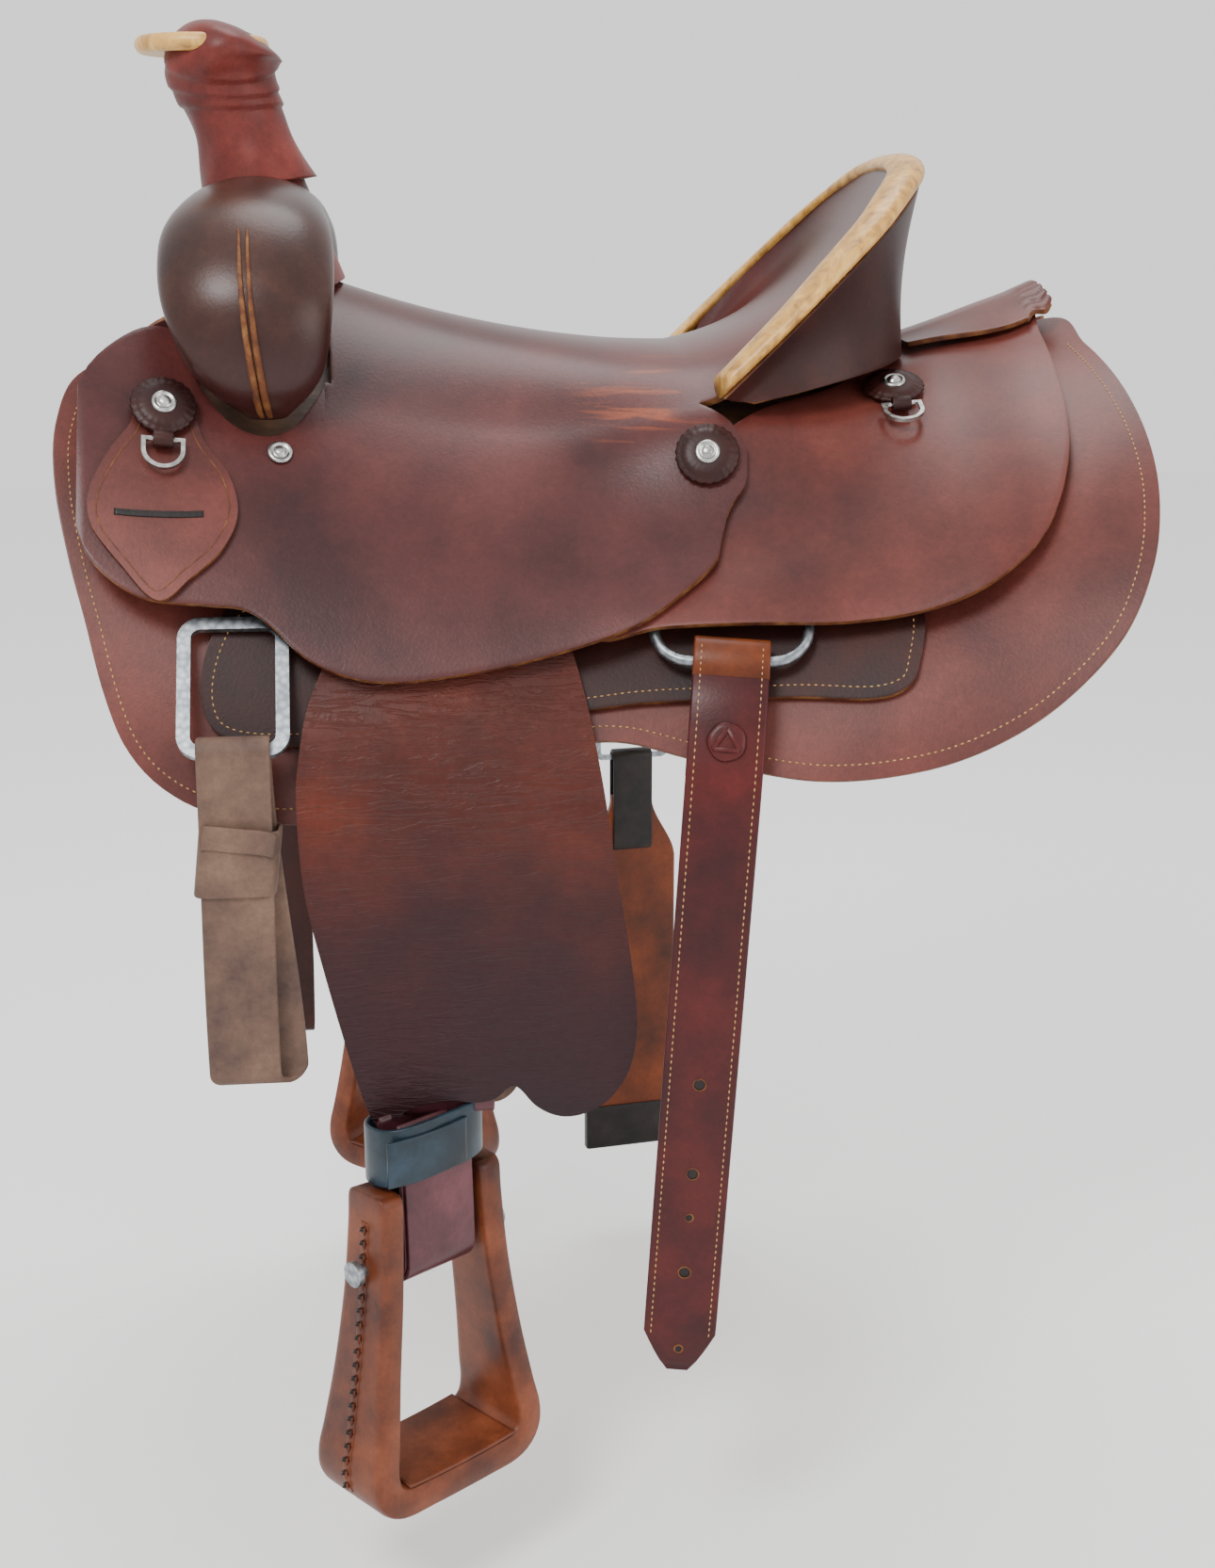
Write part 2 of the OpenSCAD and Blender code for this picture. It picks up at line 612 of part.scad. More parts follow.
module rear_ring(side) {
    half = ring_w / 2 - ring_r;
    rise = ring_h - 2 * ring_r;
    color(c_steel) at_ring(side) rotate([-ring_slope, 0, 0]) {
        for (y = [0, -ring_h]) translate([-half, y, 0]) rotate([0, 90, 0])
            cylinder(r = ring_wire, h = 2 * half);
        for (x = [-ring_w / 2, ring_w / 2]) translate([x, -ring_r, 0]) rotate([90, 0, 0])
            cylinder(r = ring_wire, h = rise);
        for (x = [-1, 1]) for (y = [0, 1])
            translate([x * half, -ring_r - y * rise, 0])
                rotate([0, 0, x > 0 ? (y > 0 ? 270 : 0) : (y > 0 ? 180 : 90)])
                rotate_extrude(angle = 90) translate([ring_r, 0]) circle(r = ring_wire);
    }
}

module rear_ring_left() { rear_ring(-1); }
module rear_ring_right() { rear_ring(1); }

// Upright loop of strap: a flat ring of the given height, thickness and gap, w wide,
// hanging from its top at the origin
module strap_loop(w, height, t, gap) {
    r = gap / 2;
    translate([-w / 2, 0, 0]) rotate([90, 0, 90]) linear_extrude(w) difference() {
        union() {
            circle(r = r + t);
            translate([-r - t, r - height]) square([gap + 2 * t, height - r]);
            translate([0, r - height]) circle(r = r + t);
        }
        circle(r = r);
        translate([-r, r - height]) square([gap, height - r]);
        translate([0, r - height]) circle(r = r);
    }
}

// Middle of the dee's bottom bar
function dee_bottom() = let(a = slope(dee_x, dee_s) - dee_tilt)
    drape(dee_x, dee_s, dee_d) + (dee_h - dee_bar) * [0, cos(a), -sin(a)];
strap_t = 4;

module latigo_left() {
    p = dee_bottom();
    color(c_latigo) sided(-1) translate(p) {
        strap_loop(latigo_w, latigo_len, strap_t, 11);
        keeper_z = -66;
        translate([0, 0, keeper_z]) difference() {
            translate([-latigo_w / 2 - 3, -13, -20]) cube([latigo_w + 6, 26, 40]);
            translate([-latigo_w / 2 - 0.2, -9.7, -21]) cube([latigo_w + 0.4, 19.4, 42]);
        }
    }
}

module off_billet_right() {
    p = dee_bottom();
    color(c_dark) sided(1) translate(p) strap_loop(latigo_w, 360, strap_t, 11);
}

// Side view of the flank billet as [slope, length] steps from the top of its fold, which
// stands fold_rise above the ring's bar; the last step hangs plumb
fold_r = 4.9;
fold_rise = 6;
billet_steps = [[ring_slope, 22], [52, 8], [60, 8], [68, 10], [71, 22], [76, 10], [84, 10]];
function walk(p, steps, i = 0) = i == len(steps) ? [p] :
    concat([p], walk(p + steps[i][1] * [cos(steps[i][0]), -sin(steps[i][0])], steps, i + 1));
fold_top = -fold_rise * [cos(ring_slope), -sin(ring_slope)];
billet_bends = walk(fold_top, billet_steps);
billet_y = billet_bends[len(billet_steps)][0];

// Line along the steps, set off outwards from the path
function set_off(steps, off) = let(last = len(steps) - 1, path = walk(fold_top, steps))
    [for (i = [0:last + 1]) let(a = (steps[max(i - 1, 0)][0] + steps[min(i, last)][0]) / 2)
        path[i] + off * [sin(a), cos(a)]];
function fold_arc(r, turns) = [for (a = turns)
    fold_top + r * [cos(90 - ring_slope + a), sin(90 - ring_slope + a)]];

// Side view of the strap: down the face, round the fold and down behind
module fold_side(face, behind, lo, hi) {
    turns = [22.5:22.5:157.5];
    polygon(concat(flip(set_off(face, hi)), fold_arc(hi, turns), set_off(behind, -hi),
                   flip(set_off(behind, -lo)), flip(fold_arc(lo, turns)), set_off(face, lo)));
}

near_lean = 3.6;
off_lean = -3;
billet_holes = [[258, 3.5], [318, 3.5], [348, 2.2], [386, 3.5], [440, 2.2]];
tongue_z = -150;

// Flank billet, folded over the ring's bar and laced to itself
module flank_billet(side, length, lean, holes) {
    tip = 26;
    drop = length + billet_bends[len(billet_steps)][1];
    steps = concat(billet_steps, [[90, drop]]);
    behind = [for (i = [0:5]) billet_steps[i]];
    color([0.40, 0.14, 0.14]) at_ring(side) rotate([0, lean, 0]) difference() {
        intersection() {
            translate([-billet_w / 2, 0, 0]) rotate([90, 0, 90]) linear_extrude(billet_w)
                fold_side(steps, behind, fold_r, fold_r + strap_t);
            translate([0, 80, 0]) rotate([90, 0, 0]) linear_extrude(120)
                polygon([[-billet_w / 2 - 1, 6], [-billet_w / 2 + 5, 24],
                         [billet_w / 2 - 5, 24], [billet_w / 2 + 1, 6],
                         [billet_w / 2 + 1, tip - length], [billet_w / 7, -length],
                         [-billet_w / 7, -length], [-billet_w / 2 - 1, tip - length]]);
        }
        for (h = holes) translate([0, 0, -h[0]]) rotate([-90, 0, 0]) cylinder(r = h[1], h = 80);
    }
}

module flank_billet_left() { flank_billet(-1, billet_len, near_lean, billet_holes); }
module flank_billet_right() { flank_billet(1, 168, off_lean, [[-tongue_z, 3.5]]); }

// Lace knot that closes the fold: a button on the face and a lace between the layers
module billet_knot(side, lean) {
    at = billet_bends[4] + 11 * [cos(71), -sin(71)];
    color(c_russet) at_ring(side) rotate([0, lean, 0]) translate([0, at[0], at[1]])
        rotate([-71, 0, 0]) {
            translate([0, 0, fold_r + strap_t + 0.1]) cylinder(r = 10, h = 3);
            translate([0, 0, 0.1 - fold_r]) cylinder(r = 6, h = 2 * fold_r - 0.2);
        }
}

module billet_knot_left() { billet_knot(-1, near_lean); }
module billet_knot_right() { billet_knot(1, off_lean); }

// The cinch hangs from a tongued buckle on the off flank billet
buckle_t = 3.4;
buckle_bar = 4;
buckle_h = 48;
buckle_at = [tongue_z * sin(off_lean), billet_y + fold_r + strap_t + 0.4, tongue_z];
cinch_len = 355;

module flank_cinch_buckle() {
    color(c_steel) at_ring(1) translate(buckle_at) {
        translate([0, buckle_t, 14 - buckle_h]) rotate([90, 0, 0]) linear_extrude(buckle_t)
            difference() {
                rounded(66, buckle_h, 8);
                translate([0, buckle_bar]) rounded(54, buckle_h - 2 * buckle_bar, 4);
            }
        translate([-2, buckle_t + 0.2, -3]) cube([4, 2.4, 17]);
        translate([0, 2.4 + buckle_t, 0]) rotate([90, 0, 0]) cylinder(r = 2.4, h = 9);
    }
}

// Middle of the buckle's bottom bar
cinch_hang = buckle_at + [0, buckle_t / 2, 14 - buckle_h + buckle_bar / 2];

module flank_cinch() {
    color(c_russet) at_ring(1) translate(cinch_hang) {
        strap_loop(40, 34, 3, 7.4);
        translate([-cinch_w / 2, -5.5, -cinch_len]) cube([cinch_w, 11, cinch_len - 34]);
    }
}

// ---- fenders and stirrup leathers ------------------------------------------------------------
leg_x = -112;
fender_edge = [[-204, 0], [-209, 28], [-211, 60], [-209, 110], [-199, 164], [-184, 220],
               [-168, 250], [-150, 240], [-120, 236], [-98, 238], [-84, 232], [-72, 246],
               [-50, 254], [-24, 246], [-11, 222], [-8, 190], [-14, 150], [-22, 95],
               [-30, 40], [-38, 0]];

module fender(side) {
    top = [for (x = [-80, -122, -164]) [x, 0]];
    color([0.45, 0.20, 0.18]) sided(side)
        sheet(concat(open_spline(fender_edge, 2), top), [-112, 110],
              function(x, q, d) hang(x, q, d), function(x, q) -2, function(x, q) 2, 4);
}

module fender_left() { fender(-1); }
module fender_right() { fender(1); }

// Upper strap, from under the tree bar to the fender, between rig plate and front jockey
strap_half = 30;
module stirrup_leather(side) {
    rows = [for (s = [172:14.4:258.4]) [for (x = [-strap_half, 0, strap_half])
        drape(leg_x + x, s, d_strap)]];
    n = [0, -sin(slope(leg_x, 200)), -cos(slope(leg_x, 200))];
    color(c_russet) sided(side) grid_sheet(flip(rows), n * 4);
}

module stirrup_leather_left() { stirrup_leather(-1); }
module stirrup_leather_right() { stirrup_leather(1); }

bolt = [-142, fender_line_y() - 5, -506];
loop_t = 5;
loop_in = 9;

module at_bolt(side) {
    sided(side) translate(bolt) rotate([0, 0, -stirrup_yaw]) children();
}

// Lower strap: flat behind the fender, then a loop round the stirrup bolt
module stirrup_loop(side) {
    rows = [for (q = [20, 40, 60, 85, 160, 256]) [for (x = [-strap_half, 0, strap_half])
        hang(leg_x + x - q * 0.06, q, -3.4)]];
    color([0.36, 0.20, 0.22]) {
        sided(side) grid_sheet(flip(rows), [0, -3.4, -0.8]);
        at_bolt(side) rotate([90, 0, 90]) translate([0, 0, -loop_w / 2])
            linear_extrude(loop_w) difference() {
                union() {
                    circle(r = loop_in + loop_t);
                    translate([-loop_in - loop_t, 0]) square([2 * (loop_in + loop_t), 92]);
                }
                circle(r = loop_in);
                translate([-loop_in, 0]) square([2 * loop_in, 87]);
            }
    }
}

module stirrup_loop_left() { stirrup_loop(-1); }
module stirrup_loop_right() { stirrup_loop(1); }

module stadium(w, h) {
    square([w - h, h], center = true);
    for (x = [-1, 1]) translate([x * (w - h) / 2, 0]) circle(r = h / 2);
}

module hobble_strap(side) {
    color(c_blue) at_bolt(side) translate([0, 0, 54.5]) linear_extrude(39) difference() {
        stadium(80, 46);
        stadium(73, 39);
    }
}

module hobble_strap_left() { hobble_strap(-1); }
module hobble_strap_right() { hobble_strap(1); }

// ---- stirrups -----------------------------------------------------------------------------
post_t = 17;
top_w = 2 * post_t + 62;
bolt_r = 4.5;
head_r = 8;
top_rise = 50;

module stirrup(side) {
    foot = top_rise - stirrup_h;
    color(c_russet) at_bolt(side) difference() {
        intersection() {
            rotate([90, 0, 0]) translate([0, 0, -40]) linear_extrude(80) difference() {
                polygon([[-top_w / 2, top_rise - 4], [-top_w / 2 + 6, top_rise],
                         [-top_w / 2 + post_t - 3, top_rise],
                         [-top_w / 2 + post_t, top_rise - 6],
                         [-top_w / 2 + post_t, top_rise - 38],
                         [-stirrup_w / 2 + 26, foot + 34], [-stirrup_w / 2 + 34, foot + 22],
                         [stirrup_w / 2 - 34, foot + 22], [stirrup_w / 2 - 26, foot + 34],
                         [top_w / 2 - post_t, top_rise - 38], [top_w / 2 - post_t, top_rise - 6],
                         [top_w / 2 - post_t + 3, top_rise], [top_w / 2 - 6, top_rise],
                         [top_w / 2, top_rise - 4], [stirrup_w / 2, foot + 28],
                         [stirrup_w / 2 - 16, foot], [-stirrup_w / 2 + 16, foot],
                         [-stirrup_w / 2, foot + 28]]);
            }
            rotate([90, 0, 90]) translate([0, 0, -100]) linear_extrude(200)
                polygon([[-13, top_rise], [13, top_rise], [18, top_rise - 8], [20, top_rise - 64],
                         [32, foot + 40], [32, foot], [-32, foot], [-32, foot + 40],
                         [-20, top_rise - 64], [-18, top_rise - 8]]);
        }
        rotate([0, 90, 0]) cylinder(r = bolt_r, h = 200, center = true);
    }
}

module stirrup_left() { stirrup(-1); }
module stirrup_right() { stirrup(1); }

module stirrup_bolt(side) {
    color(c_steel) at_bolt(side) rotate([0, 90, 0]) {
        cylinder(r = bolt_r - 0.2, h = top_w + 16, center = true);
        for (end = [-1, 1]) translate([0, 0, end * (top_w / 2 + 9.6)])
            cylinder(r = head_r, h = 4, center = true);
    }
}

module stirrup_bolt_left() { stirrup_bolt(-1); }
module stirrup_bolt_right() { stirrup_bolt(1); }

tree_bar_left();
tree_bar_right();
fork();
horn_core();
cantle_board();
ground_seat();
fleece_left();
fleece_right();
skirt_left();
skirt_right();
swell_cover();
swell_welts();
gullet_cover();
horn_wrap();
horn_cap();
horn_binding();
seat_leather();
cantle_back();
cantle_binding();
back_jockey_left();
back_jockey_right();
back_jockey_patch();
rig_plate_left();
rig_plate_right();
latigo_keeper();
rosettes();
concho_screws();
dee_tabs();
rear_ring_left();
rear_ring_right();
saddle_dee_front_left();
saddle_dee_front_right();
saddle_dee_rear_left();
saddle_dee_rear_right();
front_dee_left();
front_dee_right();
latigo_left();
off_billet_right();
flank_billet_left();
flank_billet_right();
billet_knot_left();
billet_knot_right();
flank_cinch();
flank_cinch_buckle();
stirrup_leather_left();
stirrup_leather_right();
fender_left();
fender_right();
stirrup_loop_left();
stirrup_loop_right();
hobble_strap_left();
hobble_strap_right();
stirrup_left();
stirrup_right();
stirrup_bolt_left();
stirrup_bolt_right();
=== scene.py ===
"""Looks of the western saddle: leather sheets on the saddle's own drape surface, rawhide rims,
sewn and laced straps, nickelled rosette screws and leather-covered stirrups.

Lengths inside the shape functions are millimetres; put() turns them to metres.
"""

import math

import bmesh
import bpy
import numpy as np
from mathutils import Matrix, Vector


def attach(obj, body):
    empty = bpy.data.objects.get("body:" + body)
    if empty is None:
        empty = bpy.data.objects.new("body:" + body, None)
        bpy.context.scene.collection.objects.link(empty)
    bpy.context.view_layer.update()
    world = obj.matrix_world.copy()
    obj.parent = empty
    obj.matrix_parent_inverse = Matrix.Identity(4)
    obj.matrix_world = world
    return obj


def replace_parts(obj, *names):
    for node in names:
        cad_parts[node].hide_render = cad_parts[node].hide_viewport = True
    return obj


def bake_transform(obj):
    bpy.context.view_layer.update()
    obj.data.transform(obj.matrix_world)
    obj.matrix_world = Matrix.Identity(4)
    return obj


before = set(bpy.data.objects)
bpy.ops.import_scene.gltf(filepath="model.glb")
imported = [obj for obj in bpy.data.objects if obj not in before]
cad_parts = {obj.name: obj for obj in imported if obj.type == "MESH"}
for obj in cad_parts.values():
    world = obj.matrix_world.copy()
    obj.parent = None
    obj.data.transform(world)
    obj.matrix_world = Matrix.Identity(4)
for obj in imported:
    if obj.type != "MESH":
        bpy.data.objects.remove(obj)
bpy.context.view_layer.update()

pi = np.pi


# ---- small maths -----------------------------------------------------------------------
def vec(*parts):
    """Stacks broadcast coordinate arrays into points."""
    return np.stack(np.broadcast_arrays(*[np.asarray(p, float) for p in parts]), axis=-1)


def unit(v):
    return v / np.maximum(np.linalg.norm(v, axis=-1, keepdims=True), 1e-9)


def smooth(t):
    """Cubic step from 0 to 1."""
    u = np.clip(t, 0, 1)
    return u * u * (3 - 2 * u)


def mix(a, b, t):
    return a + (b - a) * t


def curve(points, count, closed=False):
    """Catmull-Rom curve through the points, as count points evenly spaced along it."""
    p = np.asarray(points, float)
    n = len(p)
    if closed:
        i = np.arange(n)
        a, b, c, d = p[i - 1], p[i], p[(i + 1) % n], p[(i + 2) % n]
    else:
        i = np.arange(n - 1)
        a, b, c, d = p[np.maximum(i - 1, 0)], p[i], p[i + 1], p[np.minimum(i + 2, n - 1)]
    t = np.linspace(0, 1, 24, endpoint=False)[:, None, None]
    fine = 0.5 * (2 * b + (c - a) * t + (2 * a - 5 * b + 4 * c - d) * t ** 2
                  + (3 * b - a - 3 * c + d) * t ** 3)
    fine = fine.transpose(1, 0, 2).reshape(-1, p.shape[1])
    fine = np.vstack([fine, p[:1] if closed else p[-1:]])
    run = np.concatenate([[0], np.cumsum(np.linalg.norm(np.diff(fine, axis=0), axis=1))])
    at = np.linspace(0, run[-1], count, endpoint=not closed)
    return np.stack([np.interp(at, run, fine[:, k]) for k in range(p.shape[1])], axis=1)


# ---- the drape surface, as in the part's source ----------------------------------------
def spine_z(x):
    return 0.00068 * x * x - 0.078 * x


def slope(x, s):
    """Flank slope in degrees: grows evenly from the spine to 380 mm down the flank."""
    top, low = 25 - 0.05 * x, 73.5 - x / 300
    return top + (low - top) / 380 * np.minimum(s, 380)


def drape(x, s, d):
    """Arc of even bend starting at the spine, offset outwards by d."""
    x, s, d = np.broadcast_arrays(*[np.asarray(v, float) for v in (x, s, d)])
    top, low = 25 - 0.05 * x, 73.5 - x / 300
    r = 380 / np.radians(low - top)
    a, t, past = np.radians(top), np.radians(slope(x, s)), np.maximum(0, s - 380)
    return vec(x, r * (np.sin(t) - np.sin(a)) + past * np.cos(t) + d * np.sin(t),
               spine_z(x) - r * (np.cos(a) - np.cos(t)) - past * np.sin(t) + d * np.cos(t))


def bump(x, s, x0, s0, wx, ws):
    return np.exp(-((x - x0) / wx) ** 2 - ((s - s0) / ws) ** 2)


def swelling(x, s):
    """Thigh swell over the bars, and the lift over the rear ring."""
    return 27 * bump(x, s, 60, 100, 85, 45) + 5 * bump(x, s, 50, 228, 70, 38)


def raised(x, s, d):
    return drape(x, s, d + swelling(x, s))


JOIN = 100


def crest_z(x):
    return 43 + 0.00072 * (45 - x) ** 2 + 0.015 * np.maximum(0, -x)


def seat(x, s, d):
    """Raised drape; nearer the crest than JOIN a cubic Bezier arch up to the crest line."""
    x, s = np.broadcast_arrays(np.asarray(x, float), np.asarray(s, float))
    flank = raised(x, s, d)
    p, q = raised(x, JOIN, d), raised(x, JOIN + 1, d)
    t = np.clip(s / JOIN, 0, 1)[..., None]
    z = crest_z(x) + d - 48
    a = vec(x, 0 * x, z)
    b = vec(x, mix(45, 88, smooth((x + 190) / 230)), z)
    c = p - 35 * unit(q - p)
    arch = (1 - t) ** 3 * a + 3 * (1 - t) ** 2 * t * b + 3 * (1 - t) * t ** 2 * c + t ** 3 * p
    return np.where(((s >= JOIN) | (x < -190))[..., None], flank, arch)


FENDER_Y, FENDER_Z, FENDER_SLOPE, FENDER_ARC = 215, -158, 59, 85


def hang(x, q, d):
    """Fender surface: straight above its hinge line, then bending to the vertical."""
    x, q, d = np.broadcast_arrays(*[np.asarray(v, float) for v in (x, q, d)])
    k = (90 - FENDER_SLOPE) / FENDER_ARC
    r = 180 / pi / k
    a = math.radians(FENDER_SLOPE)
    t = np.radians(FENDER_SLOPE + k * np.clip(q, 0, FENDER_ARC))
    above = np.minimum(q, 0)
    return vec(x, FENDER_Y + r * (np.sin(t) - math.sin(a)) + d * np.sin(t) + above * math.cos(a),
               FENDER_Z - r * (math.cos(a) - np.cos(t)) - np.maximum(0, q - FENDER_ARC)
               + d * np.cos(t) - above * math.sin(a))


LINE_Y = float(hang(0, 200, 0)[1])


def mirrored(points, side):
    """Shapes are worked out for +Y, the off side; side -1 mirrors them to the near side."""
    return points * np.array([1, side, 1])


# ---- meshes ----------------------------------------------------------------------------
def put(name, points, faces, skins, body, uv=None, turn=False):
    """Makes a smooth-shaded piece from points in millimetres and a list of face arrays."""
    lists = [f[:, ::-1] if turn else f for f in faces]
    mesh = bpy.data.meshes.new(name)
    mesh.from_pydata((points * 0.001).tolist(), [], sum((f.tolist() for f in lists), []))
    mesh.polygons.foreach_set("use_smooth", [True] * len(mesh.polygons))
    if uv is not None:
        loops = np.zeros(len(mesh.loops), int)
        mesh.loops.foreach_get("vertex_index", loops)
        mesh.uv_layers.new(name="flat").data.foreach_set("uv", (uv[loops] * 0.001).ravel())
    for skin in skins:
        mesh.materials.append(skin)
    obj = bpy.data.objects.new(name, mesh)
    bpy.context.scene.collection.objects.link(obj)
    if body:
        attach(obj, body)
    return obj


def quads(rows, cols, wrap=False, start=0):
    """Quads of a grid of rows by cols points; wrap joins the last column to the first."""
    r = np.arange(rows - 1)[:, None] * cols
    c = np.arange(cols if wrap else cols - 1)[None, :]
    n = (c + 1) % cols
    return start + np.stack([r + c, r + n, r + cols + n, r + cols + c], axis=-1).reshape(-1, 4)


def tube(rows, n):
    """Faces of a closed tube: rings of n points with a cap at each end."""
    return [quads(rows, n, True), np.arange(n)[None, ::-1],
            (np.arange(n) + (rows - 1) * n)[None]]


def thicken(obj, t, edge=1.1):
    """Leather of thickness t under the surface, with rubbed, rounded edges."""
    solid = obj.modifiers.new("thickness", "SOLIDIFY")
    solid.thickness = t * 0.001
    solid.offset = -1
    solid.use_quality_normals = True
    solid.material_offset_rim = min(1, len(obj.data.materials) - 1)
    bevel = obj.modifiers.new("edge", "BEVEL")
    bevel.width = edge * 0.001
    bevel.segments = 2
    bevel.limit_method = "ANGLE"
    bevel.angle_limit = math.radians(50)
    return obj


def star(name, outline, centre, lay, t, skins, body, side=1, rings=22, edge=1.1):
    """Sheet inside a closed outline that is star-shaped about the centre: rings of the
    outline shrunk towards the centre, each laid on the surface by lay(x, s)."""
    f = np.sin(np.linspace(0, pi / 2, rings + 1))[1:, None, None]
    flat = centre + (outline - centre) * f
    points = lay(flat[..., 0], flat[..., 1]).reshape(-1, 3)
    middle = lay(*np.array(centre, float))
    points = np.vstack([points, middle[None]])
    uv = np.vstack([flat.reshape(-1, 2), [centre]])
    n = len(outline)
    hub = np.stack([np.full(n, len(points) - 1), np.arange(n), (np.arange(n) + 1) % n], axis=1)
    faces = [quads(rings, n, True)[:, ::-1], hub]
    outward = np.cross(points[0] - middle, points[1] - middle)
    probe = lay(*(np.array(centre, float) + [0, 1])) - middle
    ahead = lay(*(np.array(centre, float) + [1, 0])) - middle
    wrong = np.dot(outward, np.cross(ahead, probe)) < 0
    obj = put(name, mirrored(points, side), faces, skins, body, uv,
              turn=bool(wrong) != (side < 0))
    return thicken(obj, t, edge) if t else obj


def panel(name, outline, ends, lay, t, skins, body, side=1, edge=1.1):
    """Sheet between the two halves of a closed outline, which is parted at its points
    nearest to the two ends. Rows run from one half to the other, laid by lay(x, s)."""
    n, rows, cols = len(outline), 34, 150
    first, last = (int(np.argmin(np.linalg.norm(outline - e, axis=1)))
                   for e in np.array(ends, float))
    near = np.roll(outline, -first, 0)[:(last - first) % n + 1]
    far = np.roll(outline, -last, 0)[:(first - last) % n + 1][::-1]
    near, far = curve(near, cols + 2)[1:-1], curve(far, cols + 2)[1:-1]
    flat = mix(near, far, np.linspace(0, 1, rows)[:, None, None])
    points = lay(flat[..., 0], flat[..., 1]).reshape(-1, 3)
    faces = quads(rows, cols)
    a, b, c = (points[k] for k in faces[0][:3])
    low = flat[0, 0]
    outward = np.cross(lay(*(low + [1, 0])) - lay(*low), lay(*(low + [0, 1])) - lay(*low))
    wrong = np.dot(np.cross(b - a, c - a), outward) < 0
    obj = put(name, mirrored(points, side), [faces], skins, body, flat.reshape(-1, 2),
              turn=bool(wrong) != (side < 0))
    return thicken(obj, t, edge)


def sweep(name, path, across, section, skins, body, side=1, closed=False, grow=None):
    """Carries a section of (across, outwards) offsets along a path; across is the strap's
    width direction, and outwards is square to it and to the path. grow scales the section."""
    path = np.asarray(path, float)
    ahead = np.roll(path, -1, 0) - np.roll(path, 1, 0) if closed else np.gradient(path, axis=0)
    across = unit(np.broadcast_to(np.asarray(across, float), path.shape))
    out = unit(np.cross(across, unit(ahead)))
    size = np.ones((len(path), 2)) if grow is None else np.asarray(grow, float)
    rings = (path[:, None] + across[:, None] * (section[None, :, :1] * size[:, None, :1])
             + out[:, None] * (section[None, :, 1:] * size[:, None, 1:]))
    n, m = len(section), len(path)
    points = rings.reshape(-1, 3)
    run = np.concatenate([[0], np.cumsum(np.linalg.norm(np.diff(path, axis=0), axis=1))])
    uv = vec(np.repeat(run, n), np.tile(section[:, 0], m))
    faces = tube(m, n)
    if closed:
        last = np.arange(n) + (m - 1) * n
        faces[1:] = [np.stack([last, np.roll(last, -1), (np.arange(n) + 1) % n,
                               np.arange(n)], axis=1)]
    return put(name, mirrored(points, side), faces, skins, body, uv, turn=side < 0)


def strip(w, t, r=1.2):
    """Section of a strap: a rectangle with rounded edges, running anticlockwise."""
    a = np.radians([0, 30, 60, 90])
    r = min(r, t / 2)
    cx, cy = w / 2 - r, t / 2 - r
    corner = [(cx, cy, 0), (-cx, cy, 90), (-cx, -cy, 180), (cx, -cy, 270)]
    return np.concatenate([vec(x + r * np.cos(a + math.radians(b)),
                               y + r * np.sin(a + math.radians(b))) for x, y, b in corner])


def turned(name, profile, count, place, skins, body, ripple=None, side=1):
    """Turns a profile of (radius, height) rows about the local Z axis; ripple(angle, row)
    scales the radius, and place puts local points where they belong."""
    a = np.linspace(0, 2 * pi, count, endpoint=False)[None, :]
    r, z = profile[:, :1], profile[:, 1:]
    scale = 1 if ripple is None else ripple(a, np.arange(len(profile))[:, None])
    grid = vec(r * scale * np.cos(a), r * scale * np.sin(a), z + 0 * a).reshape(-1, 3)
    n, m = count, len(profile)
    ends = np.array([[0, 0, profile[0, 1]], [0, 0, profile[-1, 1]]])
    points = np.vstack([grid, ends])
    i = np.arange(n)
    j = (i + 1) % n
    faces = [quads(m, n, True),
             np.stack([np.full(n, n * m), j, i], axis=1),
             np.stack([np.full(n, n * m + 1), i + (m - 1) * n, j + (m - 1) * n], axis=1)]
    return put(name, mirrored(place(points), side), faces, skins, body, turn=side < 0)


def stitches(name, line, normal, body, slot, skin, side=1, pitch=4.2, long=3.1, wide=1.0):
    """Sewing thread: spindle-shaped stitches set one pitch apart along a line of points."""
    run = np.concatenate([[0], np.cumsum(np.linalg.norm(np.diff(line, axis=0), axis=1))])
    at = np.arange(pitch / 2, run[-1], pitch)
    def along(values, where):
        return np.stack([np.interp(where, run, values[:, k]) for k in range(3)], axis=1)
    mid, up = along(line, at), unit(along(normal, at))
    ahead = unit(along(line, at + 0.5) - along(line, at - 0.5))
    aside = np.cross(up, ahead)
    half = wide / 2
    parts = np.stack([mid - ahead * long / 2, mid + aside * half, mid + up * half,
                      mid - aside * half, mid - up * half, mid + ahead * long / 2], axis=1)
    n = np.arange(len(at))[:, None, None] * 6
    tri = np.array([[0, 2, 1], [0, 3, 2], [0, 4, 3], [0, 1, 4],
                    [5, 1, 2], [5, 2, 3], [5, 3, 4], [5, 4, 1]])[None]
    return put(name, mirrored(parts.reshape(-1, 3), side), [(n + tri).reshape(-1, 3)], [skin],
               body, turn=side < 0)


def seam(name, line, lay, body, slot, skin, side=1, rise=0.15, **size):
    """Stitches along a line of (x, s) on a surface lay(x, s)."""
    x, s = line[:, 0], line[:, 1]
    normal = unit(np.cross(lay(x + 1, s) - lay(x - 1, s), lay(x, s + 1) - lay(x, s - 1)))
    return stitches(name, lay(x, s) + normal * rise, normal, body, slot, skin, side, **size)


